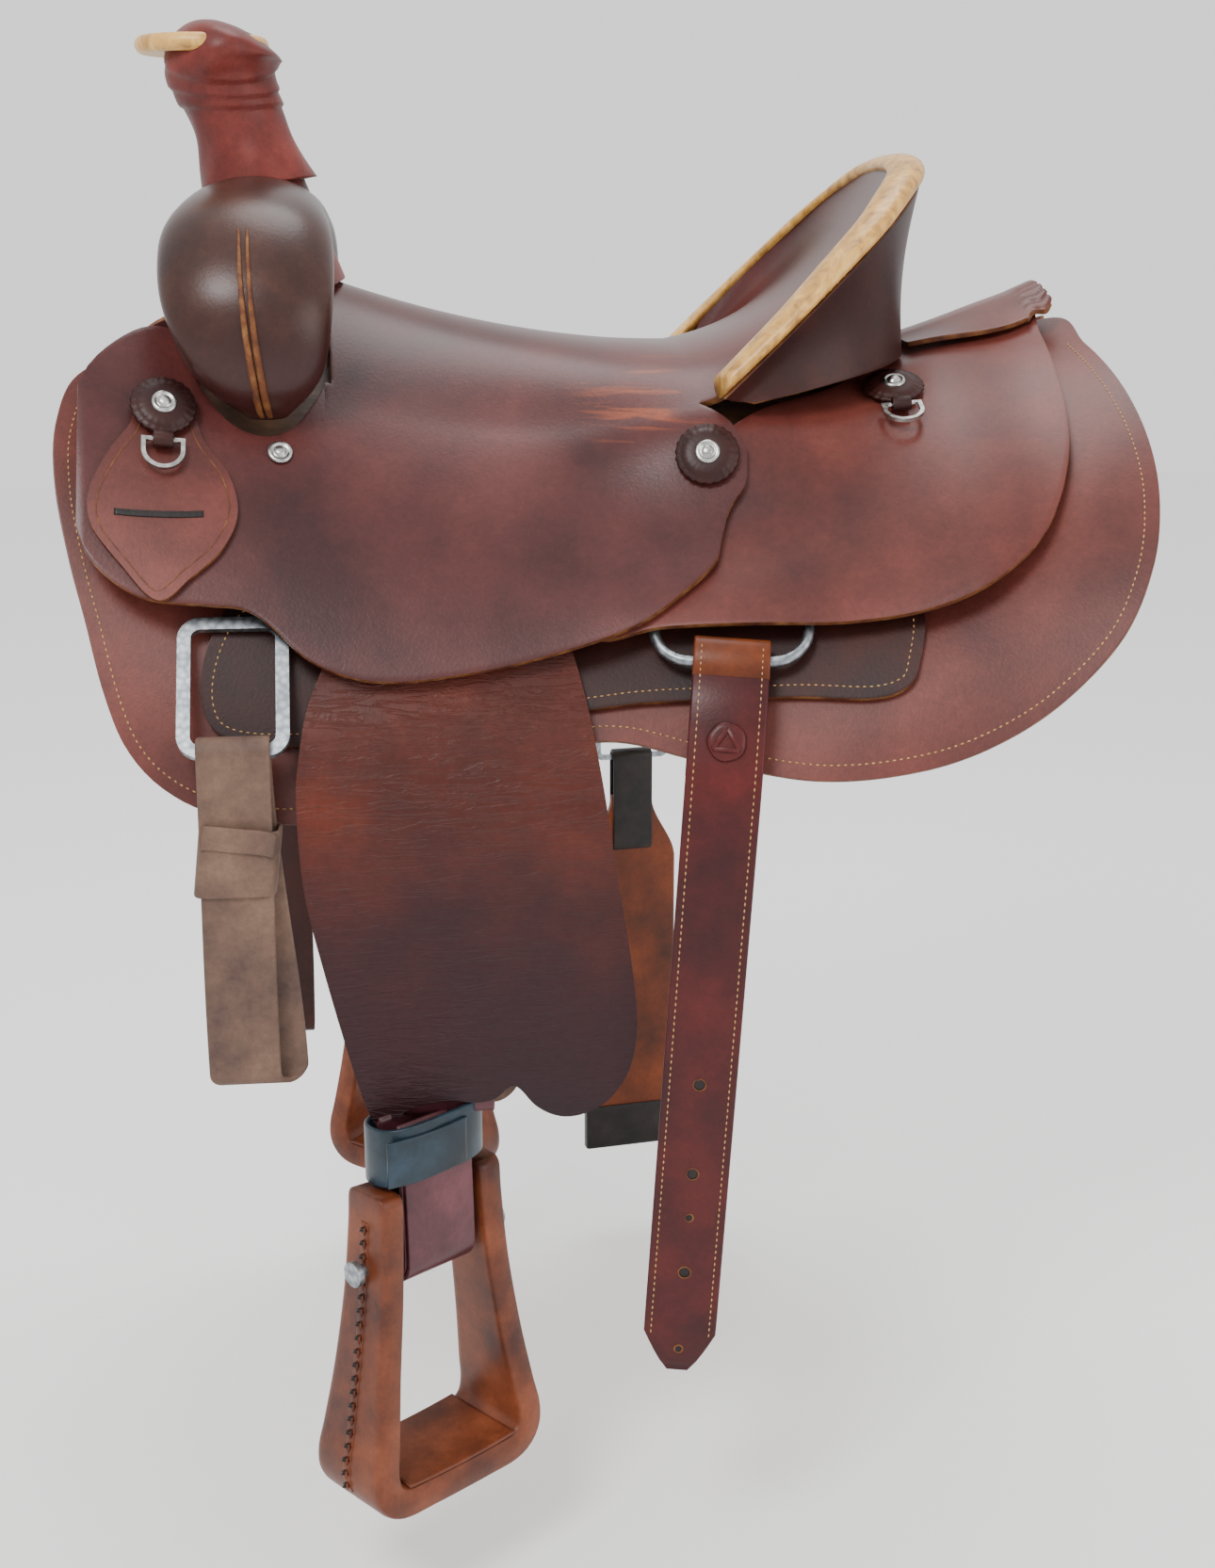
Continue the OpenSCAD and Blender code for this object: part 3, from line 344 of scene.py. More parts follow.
def inset(outline, by):
    """The outline moved inwards, square to itself."""
    ahead = unit(np.roll(outline, -1, 0) - np.roll(outline, 1, 0))
    turn = np.sign(np.sum(outline[:, 0] * np.roll(outline[:, 1], -1)
                          - outline[:, 1] * np.roll(outline[:, 0], -1)))
    return outline + vec(-ahead[:, 1], ahead[:, 0]) * by * turn


def stretch(line, keep):
    """The one run of a closed line where keep holds, in order."""
    start = int(np.argmax(keep & ~np.roll(keep, 1)))
    line, keep = np.roll(line, -start, 0), np.roll(keep, -start)
    return line[:int(np.argmin(keep)) if not keep.all() else len(line)]


# ---- materials -------------------------------------------------------------------------
def colour(hex_value):
    """sRGB hex to linear RGBA."""
    c = np.array([int(hex_value[i:i + 2], 16) for i in (1, 3, 5)]) / 255
    return (*np.where(c <= 0.04045, c / 12.92, ((c + 0.055) / 1.055) ** 2.4), 1.0)


def add(tree, kind, inputs=None, stops=None, **settings):
    """Adds a node: its settings, its input values or links, and a ramp's stops."""
    made = tree.nodes.new(kind)
    for key, value in settings.items():
        setattr(made, key, value)
    for key, value in (inputs or {}).items():
        if isinstance(value, bpy.types.NodeSocket):
            tree.links.new(value, made.inputs[key])
        else:
            made.inputs[key].default_value = value
    if stops:
        ramp = made.color_ramp
        while len(ramp.elements) < len(stops):
            ramp.elements.new(0.5)
        for spot, (place, value) in zip(ramp.elements, stops):
            spot.position, spot.color = place, value
    return made


def material(name):
    made = bpy.data.materials.new(name)
    made.use_nodes = True
    made.node_tree.nodes.clear()
    return made, made.node_tree


def grey(v):
    return (v, v, v, 1.0)


def leather(name, pale, mid, dark, gloss=0.36, grain=1.6, creases=0.0, fade=(), coat=0.08,
            mottle=55, scuffs=None):
    """Vegetable-tanned leather, oiled and rubbed: broad dark clouds, small pores and fine
    scratches. grain is the pore spacing in mm, drawn coarser than life so that it shows.
    Each fade is (low z, high z, colour, amount): the leather turns to the colour below.
    scuffs=(x, y, z, reach, colour) scratches a patch about a point, in metres."""
    made, tree = material(name)
    spot = add(tree, "ShaderNodeTexCoord").outputs["Object"]
    cloud = add(tree, "ShaderNodeTexNoise", {"Vector": spot, "Scale": 1000 / mottle,
                                             "Detail": 5.0, "Roughness": 0.55})
    base = add(tree, "ShaderNodeValToRGB", {"Fac": cloud.outputs["Fac"]},
               stops=[(0.30, colour(dark)), (0.50, colour(mid)), (0.72, colour(pale))])
    shown = base.outputs["Color"]
    if fade:
        height = add(tree, "ShaderNodeSeparateXYZ", {"Vector": spot}).outputs["Z"]
        ragged = add(tree, "ShaderNodeMath", {0: cloud.outputs["Fac"], 1: 0.10, 2: height},
                     operation="MULTIPLY_ADD").outputs[0]
    for low, high, tint, amount in fade:
        part = add(tree, "ShaderNodeMapRange", {"Value": ragged, "From Min": low + 0.05,
                                                "From Max": high + 0.05, "To Min": amount,
                                                "To Max": 0.0},
                   interpolation_type="SMOOTHSTEP").outputs["Result"]
        shown = add(tree, "ShaderNodeMix", {0: part, 6: shown, 7: colour(tint)},
                    data_type="RGBA").outputs[2]
    if scuffs:
        far = add(tree, "ShaderNodeVectorMath", {0: spot, 1: scuffs[:3]},
                  operation="DISTANCE").outputs["Value"]
        near = add(tree, "ShaderNodeMapRange", {"Value": far, "From Min": scuffs[3] * 0.45,
                                                "From Max": scuffs[3], "To Min": 1.0,
                                                "To Max": 0.0}).outputs["Result"]
        lie = add(tree, "ShaderNodeMapping", {"Vector": spot, "Scale": (14.0, 30.0, 190.0),
                                              "Rotation": (0.0, 0.25, 0.0)})
        marks = add(tree, "ShaderNodeTexNoise", {"Vector": lie.outputs["Vector"], "Scale": 1.0,
                                                 "Detail": 3.0, "Distortion": 0.4})
        lines = add(tree, "ShaderNodeMapRange", {"Value": marks.outputs["Fac"],
                                                 "From Min": 0.55, "From Max": 0.68,
                                                 "To Max": 0.75}).outputs["Result"]
        part = add(tree, "ShaderNodeMath", {0: near, 1: lines}, operation="MULTIPLY").outputs[0]
        shown = add(tree, "ShaderNodeMix", {0: part, 6: shown, 7: colour(scuffs[4])},
                    data_type="RGBA").outputs[2]
    rub = add(tree, "ShaderNodeTexNoise", {"Vector": spot, "Scale": 260.0, "Detail": 6.0,
                                           "Roughness": 0.7, "Distortion": 0.6})
    flecks = add(tree, "ShaderNodeValToRGB", {"Fac": rub.outputs["Fac"]},
                 stops=[(0.35, grey(0.80)), (0.62, grey(1.0)), (0.80, grey(1.16))])
    shown = add(tree, "ShaderNodeMix", {0: 1.0, 6: shown, 7: flecks.outputs["Color"]},
                data_type="RGBA", blend_type="MULTIPLY").outputs[2]
    pores = add(tree, "ShaderNodeTexVoronoi", {"Vector": spot, "Scale": 1000 / grain},
                feature="SMOOTH_F1").outputs["Distance"]
    fine = add(tree, "ShaderNodeTexNoise", {"Vector": spot, "Scale": 420.0, "Detail": 4.0})
    lift = add(tree, "ShaderNodeMath", {0: pores, 1: 0.45, 2: fine.outputs["Fac"]},
               operation="MULTIPLY_ADD").outputs[0]
    relief = add(tree, "ShaderNodeBump", {"Height": lift, "Strength": 0.16,
                                          "Distance": 0.0006}).outputs["Normal"]
    if creases:
        lie = add(tree, "ShaderNodeMapping", {"Vector": spot, "Scale": (26.0, 60.0, 170.0)})
        folds = add(tree, "ShaderNodeTexNoise", {"Vector": lie.outputs["Vector"], "Scale": 1.0,
                                                 "Detail": 5.0, "Distortion": 1.3})
        sharp = add(tree, "ShaderNodeValToRGB", {"Fac": folds.outputs["Fac"]},
                    stops=[(0.42, grey(0.0)), (0.5, grey(1.0)), (0.58, grey(0.25))])
        relief = add(tree, "ShaderNodeBump", {"Height": sharp.outputs["Color"],
                                              "Strength": creases, "Distance": 0.0011,
                                              "Normal": relief}).outputs["Normal"]
    sheen = add(tree, "ShaderNodeMapRange", {"Value": cloud.outputs["Fac"], "To Min": gloss - 0.07,
                                             "To Max": gloss + 0.16}).outputs["Result"]
    skin = add(tree, "ShaderNodeBsdfPrincipled",
               {"Base Color": shown, "Roughness": sheen, "Normal": relief, "Coat Weight": coat,
                "Coat Roughness": 0.32, "Specular IOR Level": 0.2})
    add(tree, "ShaderNodeOutputMaterial", {"Surface": skin.outputs["BSDF"]})
    return made


def fibrous(name, pale, mid, dark, stretch_by, rough, depth=0.25):
    """Rawhide, thread, wool or wood: a long-grained noise in three tones with a bump."""
    made, tree = material(name)
    spot = add(tree, "ShaderNodeTexCoord").outputs["Object"]
    lie = add(tree, "ShaderNodeMapping", {"Vector": spot, "Scale": stretch_by})
    fibre = add(tree, "ShaderNodeTexNoise", {"Vector": lie.outputs["Vector"], "Scale": 1.0,
                                             "Detail": 7.0, "Roughness": 0.62,
                                             "Distortion": 0.5})
    tone = add(tree, "ShaderNodeValToRGB", {"Fac": fibre.outputs["Fac"]},
               stops=[(0.28, colour(dark)), (0.50, colour(mid)), (0.70, colour(pale))])
    relief = add(tree, "ShaderNodeBump", {"Height": fibre.outputs["Fac"], "Strength": depth,
                                          "Distance": 0.0012}).outputs["Normal"]
    skin = add(tree, "ShaderNodeBsdfPrincipled",
               {"Base Color": tone.outputs["Color"], "Roughness": rough, "Normal": relief})
    add(tree, "ShaderNodeOutputMaterial", {"Surface": skin.outputs["BSDF"]})
    return made


def metal(name, pale, dark, rough):
    """Zinc or nickel plate: a grey metal with cloudy crystals and small scratches."""
    made, tree = material(name)
    spot = add(tree, "ShaderNodeTexCoord").outputs["Object"]
    cells = add(tree, "ShaderNodeTexVoronoi", {"Vector": spot, "Scale": 240.0})
    tone = add(tree, "ShaderNodeValToRGB", {"Fac": cells.outputs["Distance"]},
               stops=[(0.1, colour(pale)), (0.8, colour(dark))])
    worn = add(tree, "ShaderNodeTexNoise", {"Vector": spot, "Scale": 130.0, "Detail": 6.0})
    rub = add(tree, "ShaderNodeMapRange", {"Value": worn.outputs["Fac"], "To Min": rough - 0.08,
                                           "To Max": rough + 0.16}).outputs["Result"]
    relief = add(tree, "ShaderNodeBump", {"Height": worn.outputs["Fac"], "Strength": 0.12,
                                          "Distance": 0.0004}).outputs["Normal"]
    skin = add(tree, "ShaderNodeBsdfPrincipled",
               {"Base Color": tone.outputs["Color"], "Metallic": 1.0, "Roughness": rub,
                "Normal": relief})
    add(tree, "ShaderNodeOutputMaterial", {"Surface": skin.outputs["BSDF"]})
    return made


# Burgundy skirting leather, oiled: semi-gloss, with broad soft clouds of red-brown
SKIRTING = leather("oiled_skirting_leather", "#71382f", "#592923", "#3d1b1a", gloss=0.33,
                   mottle=110, coat=0.2)
# The seat is rubbed darker and smoother by its rider, and scuffed orange beside the cantle
SEATING = leather("rubbed_seat_leather", "#61302c", "#4c2422", "#35191a", gloss=0.29, coat=0.16,
                  mottle=120, scuffs=(0.010, -0.125, 0.030, 0.062, "#8c4426"))
# Dark dye over the swell: nearly black above, purple-red below
SWELL = leather("dark_dyed_swell_leather", "#45281f", "#351e19", "#231512", gloss=0.27,
                fade=[(0.0, 0.08, "#3a1a1a", 0.7)], coat=0.16)
# Rig plate and cantle back, in shade and rarely oiled
PLATE = leather("dark_rigging_leather", "#3c1a14", "#2d1310", "#1f0d0c", gloss=0.40)
# Fender leather: oily and creased, orange-red above, then darker towards the bottom: burgundy,
# then blue-black
FENDER = leather("creased_fender_leather", "#602616", "#4a1d14", "#371512", gloss=0.37,
                 creases=0.45, mottle=90, fade=[(-0.34, -0.20, "#280f15", 0.92),
                                                (-0.50, -0.34, "#170e15", 0.85)])
# Cut edges of the leather, left natural and burnished
EDGE = leather("burnished_cut_edge", "#8a5f38", "#63391f", "#42221c", gloss=0.5, coat=0.0,
               mottle=14)
# Mulehide horn wrap: soft, matt, reddish
MULEHIDE = leather("mulehide_horn_wrap", "#7c342c", "#622722", "#441c1b", gloss=0.40, coat=0.05,
                   mottle=45)
# Bridle leather of the flank billets: deep red
BRIDLE = leather("red_bridle_leather", "#561b19", "#411313", "#2d0d12", gloss=0.33,
                 mottle=60)
# Russet harness leather of the cinch and fold: orange-brown
RUSSET = leather("russet_harness_leather", "#7e3c16", "#5f2a10", "#3e1a0d", gloss=0.38,
                 mottle=60)
# Worn stirrup cover: red-brown, rubbed paler in places
STIRRUP = leather("worn_stirrup_leather", "#88492e", "#67331d", "#401f16", gloss=0.40,
                  mottle=48, coat=0.12)
# Latigo: dull grey-brown strap, dry and matt
LATIGO = leather("dry_latigo_leather", "#7d6352", "#664f43", "#4b3a35", gloss=0.55, coat=0.0,
                 mottle=45)
# Hobble strap: blue-black English leather
HOBBLE = leather("blue_black_strap_leather", "#263a48", "#18262f", "#10181f", gloss=0.32,
                 mottle=30, coat=0.25)
# Plum stirrup strap
PLUM = leather("plum_stirrup_strap", "#6b3a41", "#51292f", "#371b20", gloss=0.30, mottle=45,
               coat=0.25)
# Rawhide: hard, waxy, yellow-tan with darker veins
RAWHIDE = fibrous("waxed_rawhide", "#dcae60", "#bd8d42", "#7c5428", (95, 95, 60), 0.34, 0.4)
# Waxed linen thread
THREAD = fibrous("waxed_linen_thread", "#cda46e", "#b98e58", "#8c6638", (900, 900, 900), 0.6)
# Sheared wool pile
WOOL = fibrous("sheared_wool", "#efe6d2", "#dccfb2", "#b8a888", (260, 260, 260), 0.95, 0.9)
# Tree under brown varnished rawhide
TREE = fibrous("varnished_rawhide_on_wood", "#6a4a30", "#4d3323", "#342219", (30, 90, 90), 0.5)
# Galvanised iron rigging; the post under the horn wrap, made near black as painted shade where it
# shows through the wrap; and nickelled screws
ZINC = metal("galvanised_iron", "#a9adb1", "#74797e", 0.36)
HORN_IRON_PAINTED_SHADE = metal("dark_horn_iron_painted_shade", "#2b2b2c", "#1c1c1d", 0.5)
NICKEL = metal("nickel_plate", "#d2d2ce", "#9b9a96", 0.24)
# Black leather of the cinch's ends; the same black is painted shade in the lace holes of the
# stirrup's seams, in the keeper's slot and inside punched holes
BLACK_AND_SHADE = leather("black_leather_and_painted_shade", "#2a2321", "#1c1716", "#120f0f", gloss=0.4, mottle=20)

# ---- skirts, fleece, rigging plates ----------------------------------------------------
SKIRT_LINE = [(-302, 84), (-341, 119), (-354, 160), (-354, 200), (-346, 242), (-336, 278),
              (-326, 315), (-313, 343), (-291, 359), (-258, 363), (-200, 352), (-120, 312),
              (-32, 286), (30, 300), (100, 322), (160, 330), (205, 328), (246, 317),
              (284, 294), (306, 261), (317, 225), (321, 185), (319, 132), (312, 66),
              (303, 6), (200, 5), (100, 5), (0, 5), (-80, 8), (-140, 30), (-230, 60)]
PLATE_LINE = [(-262, 262), (-268, 300), (-252, 318), (-200, 308), (-120, 284), (-33, 268),
              (18, 265), (86, 271), (135, 282), (156, 280), (164, 268), (170, 235),
              (150, 205), (60, 190), (-60, 190), (-180, 205), (-240, 228)]
BACK_LINE = [(286, 4), (284, 50), (281, 94), (277, 135), (271, 168), (257, 201), (238, 224),
             (207, 239), (170, 243), (122, 239), (66, 231), (9, 227), (-30, 231), (-44, 200),
             (-10, 150), (40, 124), (76, 104), (120, 82), (160, 54), (192, 28), (200, 4),
             (245, 4)]
LEATHER_T = 4.5
HAND = {-1: "left", 1: "right"}


def back_depth(x, s):
    """Back jockey: clear of the bars on the flank, low over the spine."""
    return mix(22 + 0.11 * (x - 185), 37 - 10 * smooth((x - 200) / 75), smooth((s - 5) / 55))


def skirt_top(x, s):
    return drape(x, s, 15 + LEATHER_T + 0.5 * np.sin(x / 31) * np.sin(s / 27))


def plate_top(x, s):
    return drape(x, s, 21 + LEATHER_T)


def jockey_top(x, s):
    ripple = 0.6 * np.sin(x / 37 + 1) * np.sin(s / 33)
    return raised(x, s, back_depth(x, s) + LEATHER_T + ripple)


skirt_outline = curve(SKIRT_LINE, 300, closed=True)
plate_outline = curve(PLATE_LINE, 200, closed=True)
back_outline = curve(BACK_LINE, 240, closed=True)
for side, hand in HAND.items():
    skirt = star(f"skirt_leather_{hand}", skirt_outline, (0, 150), skirt_top, LEATHER_T,
                 [SKIRTING, EDGE], "saddle", side)
    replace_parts(skirt, f"skirt_{hand}")
    line = inset(skirt_outline, 9)
    seam(f"skirt_stitching_{hand}", stretch(line, line[:, 1] > 55), skirt_top, "saddle",
         "russet_lace", THREAD, side, wide=1.3)

    wool_line = np.array([0, 150]) + (skirt_outline - [0, 150]) * 0.972

    def wool_top(x, s):
        return drape(x, s, 14 + 0 * x)

    wool = star(f"fleece_lining_{hand}", wool_line, (0, 150), wool_top, 0, [WOOL], "saddle",
                side, rings=40)
    solid = wool.modifiers.new("pile", "SOLIDIFY")
    solid.thickness, solid.offset = 0.0135, -1
    tufts = bpy.data.textures.new(f"wool_tufts_{hand}", "CLOUDS")
    tufts.noise_scale = 0.012
    pile = wool.modifiers.new("tufts", "DISPLACE")
    pile.texture, pile.strength, pile.mid_level = tufts, 0.0016, 0.9
    pile.texture_coords = "LOCAL"
    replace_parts(wool, f"fleece_{hand}")

    plate = panel(f"rigging_plate_{hand}", plate_outline, [(-268, 285), (170, 250)], plate_top,
                  LEATHER_T, [PLATE, EDGE], "saddle", side)
    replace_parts(plate, f"rig_plate_{hand}")
    line = inset(plate_outline, 7)
    seam(f"plate_stitching_{hand}", stretch(line, line[:, 1] > 235), plate_top, "saddle",
         "russet_lace", THREAD, side, wide=1.1)

    jockey = panel(f"back_jockey_leather_{hand}", back_outline, [(-42, 216), (286, 4)], jockey_top,
                  LEATHER_T, [SKIRTING, EDGE], "saddle", side, edge=1.6)
    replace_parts(jockey, f"back_jockey_{hand}")


# Butterfly patch behind the cantle, with a tooled tail
def patch_top(u, v):
    """u runs back from 0 to 1, v across from -1 to 1; the tail flares."""
    x = mix(200, 297, u)
    half = mix(28, 42, np.sin(u * pi * 0.86) ** 0.8) + 3 * np.cos(u * 40) * (u > 0.8)
    s = np.abs(v) * half
    lift = 9.7 - 1.5 * smooth((x - 250) / 40) + 0.8 * np.cos(v * 24) * smooth((u - 0.8) / 0.1)
    p = raised(x, s, back_depth(x, s) + lift)
    return vec(p[..., 0], np.sign(v) * p[..., 1], p[..., 2])


u, v = np.meshgrid(np.linspace(0, 1, 60), np.linspace(-1, 1, 49), indexing="ij")
patch = thicken(put("butterfly_patch", patch_top(u, v).reshape(-1, 3), [quads(*u.shape)],
                    [SKIRTING, EDGE], "saddle"), 3.2)
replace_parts(patch, "back_jockey_patch")

# ---- seat, front jockey and dish: one sheet --------------------------------------------
RIM_POWER, CANTLE_X, CANTLE_Z, CANTLE_HALF = 2.7, 190, 158, 138


def bow(end, top, half, t):
    """Superellipse arch from one end of the cantle to the other, t in degrees."""
    c = np.abs(np.sin(np.radians(t))) ** (2 / RIM_POWER)
    s = np.maximum(np.cos(np.radians(t)), 0) ** (2 / RIM_POWER)
    return vec(mix(end[0], top[0], s), np.sign(t) * half * c, mix(end[1], top[1], s))


def rim(t):
    return bow((41, 10), (CANTLE_X, CANTLE_Z), CANTLE_HALF, t)


def base(t):
    return bow((66, 8), (187, 37), CANTLE_HALF - 4, t)


def rim_out(t):
    r = rim(t)
    return unit(vec(np.maximum(r[..., 0] - 40, 1) * 0.9, r[..., 1], 0))


LOWER = curve([(-342, 180), (-339, 222), (-328, 246), (-300, 256), (-262, 248), (-240, 244),
               (-224, 250), (-205, 263), (-180, 269), (-150, 267), (-100, 255), (-50, 241),
               (-4, 226), (28, 206), (46, 190), (52, 170), (58, 158), (68, 146), (70, 128)], 400)
UPPER = curve([(-342, 180), (-338, 145), (-326, 117), (-302, 87), (-282, 80), (-273, 100),
               (-262, 118), (-246, 132), (-226, 133), (-210, 122), (-199, 104), (-190, 84)], 300)
EAR = curve([(45, 99), (60, 112), (70, 128)], 60)
DISH_X = 43
ROWS = 64


def low_s(x):
    return np.interp(x, LOWER[:, 0], LOWER[:, 1])


first = int(round(84 / low_s(-186) * ROWS))
last = int(round(96 / low_s(DISH_X) * ROWS))
front_x = -342 + 152 * np.sin(np.linspace(0.02, 1, 46) * pi / 2)
mid_x = np.linspace(-186, DISH_X, 90)
ear_x = DISH_X + 27 * np.sin(np.linspace(0, 1, 12) * pi / 2)


def rows_of(x, start, inner):
    """Rows from start to ROWS shared out between the inner and the lower outline."""
    k = np.arange(start, ROWS + 1)[None, :]
    s = inner[:, None] + (k - start) / (ROWS - start) * (low_s(x) - inner)[:, None]
    return np.broadcast_to(x[:, None], s.shape), s


def seat_top(x, s):
    return seat(x, s, 44 + LEATHER_T)


half_points, half_faces, count = [], [], 0
for xs, start, inner in (
        (np.append(front_x, -186), first,
         np.append(np.interp(front_x, UPPER[:, 0], UPPER[:, 1]), first / ROWS * low_s(-186))),
        (mid_x, 0, 0 * mid_x),
        (ear_x, last, np.interp(ear_x, np.append(DISH_X, EAR[:, 0]),
                                np.append(last / ROWS * low_s(DISH_X), EAR[:, 1])))):
    gx, gs = rows_of(xs, start, inner)
    half_points.append(seat_top(gx, gs).reshape(-1, 3))
    half_faces.append(quads(*gx.shape, start=count))
    count += gx.size
half_points = np.vstack(half_points)
half_faces = np.vstack(half_faces)
s_row = np.arange(-last, last + 1) / ROWS * low_s(DISH_X)
low = seat_top(np.full(s_row.shape, float(DISH_X)), np.abs(s_row))
low[:, 1] *= np.sign(s_row)
turn_t = np.degrees(np.arcsin(s_row / s_row[-1] * math.sin(math.radians(78))))
high = rim(turn_t) - rim_out(turn_t) * 6 + [0, 0, -2]
middle = vec(mix(low[:, 0], high[:, 0], 0.66), mix(low[:, 1], high[:, 1], 0.6),
             mix(low[:, 2], high[:, 2], 0.14))
w = np.linspace(0, 1, 40)[:, None, None]
dish = ((1 - w) ** 2 * low + 2 * w * (1 - w) * middle + w ** 2 * high)
points = np.vstack([half_points, mirrored(half_points, -1), dish.reshape(-1, 3)])
seat_piece = put("seat_and_front_jockey", points,
                 [half_faces, half_faces[:, ::-1] + count,
                  quads(40, len(s_row), start=2 * count)],
                 [SEATING, EDGE], "saddle")
bm = bmesh.new()
bm.from_mesh(seat_piece.data)
bmesh.ops.remove_doubles(bm, verts=bm.verts, dist=0.00012)
bmesh.ops.recalc_face_normals(bm, faces=bm.faces)
bm.to_mesh(seat_piece.data)
bm.free()
if seat_piece.data.polygons[half_faces.shape[0] // 2].normal.z < 0:
    seat_piece.data.flip_normals()
thicken(seat_piece, LEATHER_T, 1.3)
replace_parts(seat_piece, "seat_leather")

# ---- cantle ----------------------------------------------------------------------------
RIM_N, BEAD_N = 160, 20
t = np.linspace(-88, 88, RIM_N)
ring = np.linspace(0, 2 * pi, BEAD_N, endpoint=False)
out = rim_out(t)
bead = (rim(t)[:, None] + out[:, None] * (4 + 12.5 * np.cos(ring))[None, :, None]
        + np.array([0, 0, 1]) * ((7.5 * np.sin(ring)) * (1 + 0.12 * np.cos(ring)))[None, :, None]
        + out[:, None] * (0.5 * np.sin(t / 4.5))[:, None, None])
binding = put("cantle_rawhide_binding", bead.reshape(-1, 3), tube(RIM_N, BEAD_N), [RAWHIDE],
              "saddle")
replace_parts(binding, "cantle_binding")
edge_line = rim(t) + out * 12.4 + [0, 0, -5.4]
stitches("cantle_lacing", edge_line, out + [0, 0, -0.6], "saddle", "russet_lace", THREAD,
         pitch=6.5, long=4.6, wide=1.4)

v = np.linspace(0, 1, 30)[:, None, None]
back_top, back_low = rim(t) + out * 11 + [0, 0, -6], base(t) + out * 5
hollow = out * 5 * np.sin(v * pi) * -1
back = mix(back_top, back_low, v) + hollow
cantle_skin = thicken(put("cantle_back_leather", back.reshape(-1, 3), [quads(30, RIM_N)],
                          [PLATE, EDGE], "saddle"), 3)
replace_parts(cantle_skin, "cantle_back")

# ---- fork and horn ---------------------------------------------------------------------
FORK = [(127, 5, -225, 12, 4), (138, 30, -229, 38, 15), (134, 70, -234, 51, 22),
        (103, 106, -235, 53, 25), (55, 124, -233, 46, 23), (0, 130, -231, 38, 20)]
FORK_N, ARCH_N = 141, 48
stations = curve(FORK + [(-a, b, c, d, e) for a, b, c, d, e in FORK[-2::-1]], FORK_N)


def arch_frame(st):
    """Centre of each station of the fork's arch, and the way out of the arch there."""
    along = unit(np.gradient(vec(0 * st[:, 0], st[:, 0], st[:, 1]), axis=0))
    return vec(st[:, 2], st[:, 0], st[:, 1]), vec(0 * st[:, 0], along[:, 2], -along[:, 1])


def arch(st, angle, grow=0.0):
    """Ellipse round each station of the fork's arch; angle 0 is rearwards."""
    mid, outw = arch_frame(st)
    return (mid[:, None] + np.array([1, 0, 0]) * ((st[:, 3] + grow)[:, None]
            * np.cos(angle))[..., None] - outw[:, None] * ((st[:, 4] + grow)[:, None]
            * np.sin(angle))[..., None])


a = np.linspace(0, 2 * pi, ARCH_N, endpoint=False)[None, :]
for name, part, grow, skin, slot, node in (
        ("swell_cover_leather", stations, 0, SWELL, "dark_leather", "swell_cover"),
        ("fork_wood", stations[4:-4], -4, TREE, "tree_wood", "fork")):
    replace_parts(put(name, arch(part, a, grow).reshape(-1, 3), tube(len(part), ARCH_N), [skin],
                    "saddle"), node)

for side, hand in HAND.items():
    # Welt down the front of the swell: two thicknesses of russet leather standing proud
    part = stations[2:36]
    mid, outw = arch_frame(part)
    centre = mid + outw * (part[:, 4] + 0.6)[:, None]
    taper = np.sin(np.linspace(0.03, 1, 34) ** 0.5 * pi * 0.98)[:, None] * [[1, 1]]
    for lip in (-1, 1):
        sweep(f"swell_welt_{'front' if lip < 0 else 'rear'}_{hand}",
              centre + np.array([2.5 * lip, 0, 0]), [1, 0, 0], strip(4.6, 5.0, 1.8), [EDGE],
              "saddle", side, grow=0.25 + 0.75 * taper)
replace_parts(bpy.data.objects["swell_welt_front_left"], "swell_welts")

part, LINING_N = stations[34:-34], 17
mid, outw = arch_frame(part)
wide = np.linspace(-1, 1, LINING_N)[None, :, None]
lining = ((mid - outw * (part[:, 4] + 2.2)[:, None])[:, None]
          + np.array([1, 0, 0]) * (part[:, 3] * 0.66)[:, None, None] * wide
          - outw[:, None] * (1 - wide ** 2) * 0.6)
gullet = thicken(put("gullet_lining", lining.reshape(-1, 3), [quads(len(part), LINING_N)],
                     [SKIRTING, EDGE], "saddle"), 2.2)
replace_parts(gullet, "gullet_cover")

CAP_X, CAP_TOP, CAP_R, CAP_T = -263, 236, 42, 11


def cap_place(p):
    return p + [CAP_X, 0, CAP_TOP - CAP_T / 2]


angle = np.radians(np.arange(-90, 91, 15))
rim_profile = vec(CAP_R - 4.5 + 5.2 * np.cos(angle), 5.6 * np.sin(angle))
rim_profile = np.vstack([[[CAP_R - 12, -4.6]], rim_profile, [[CAP_R - 12, 4.6]]])
horn_rim = turned("horn_rawhide_binding", rim_profile, 72, cap_place, [RAWHIDE], "saddle",
                  ripple=lambda g, k: 1 + 0.004 * np.sin(g * 42))
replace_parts(horn_rim, "horn_binding")
cap_profile = np.array([[2, -3.4], [30, -3.6], [36, -3.2], [36.5, 2.6], [33, 4.0], [18, 4.6],
                        [2, 4.8]])
horn_top = turned("horn_cap_leather", cap_profile, 64, cap_place, [SWELL], "saddle")
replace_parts(horn_top, "horn_cap")

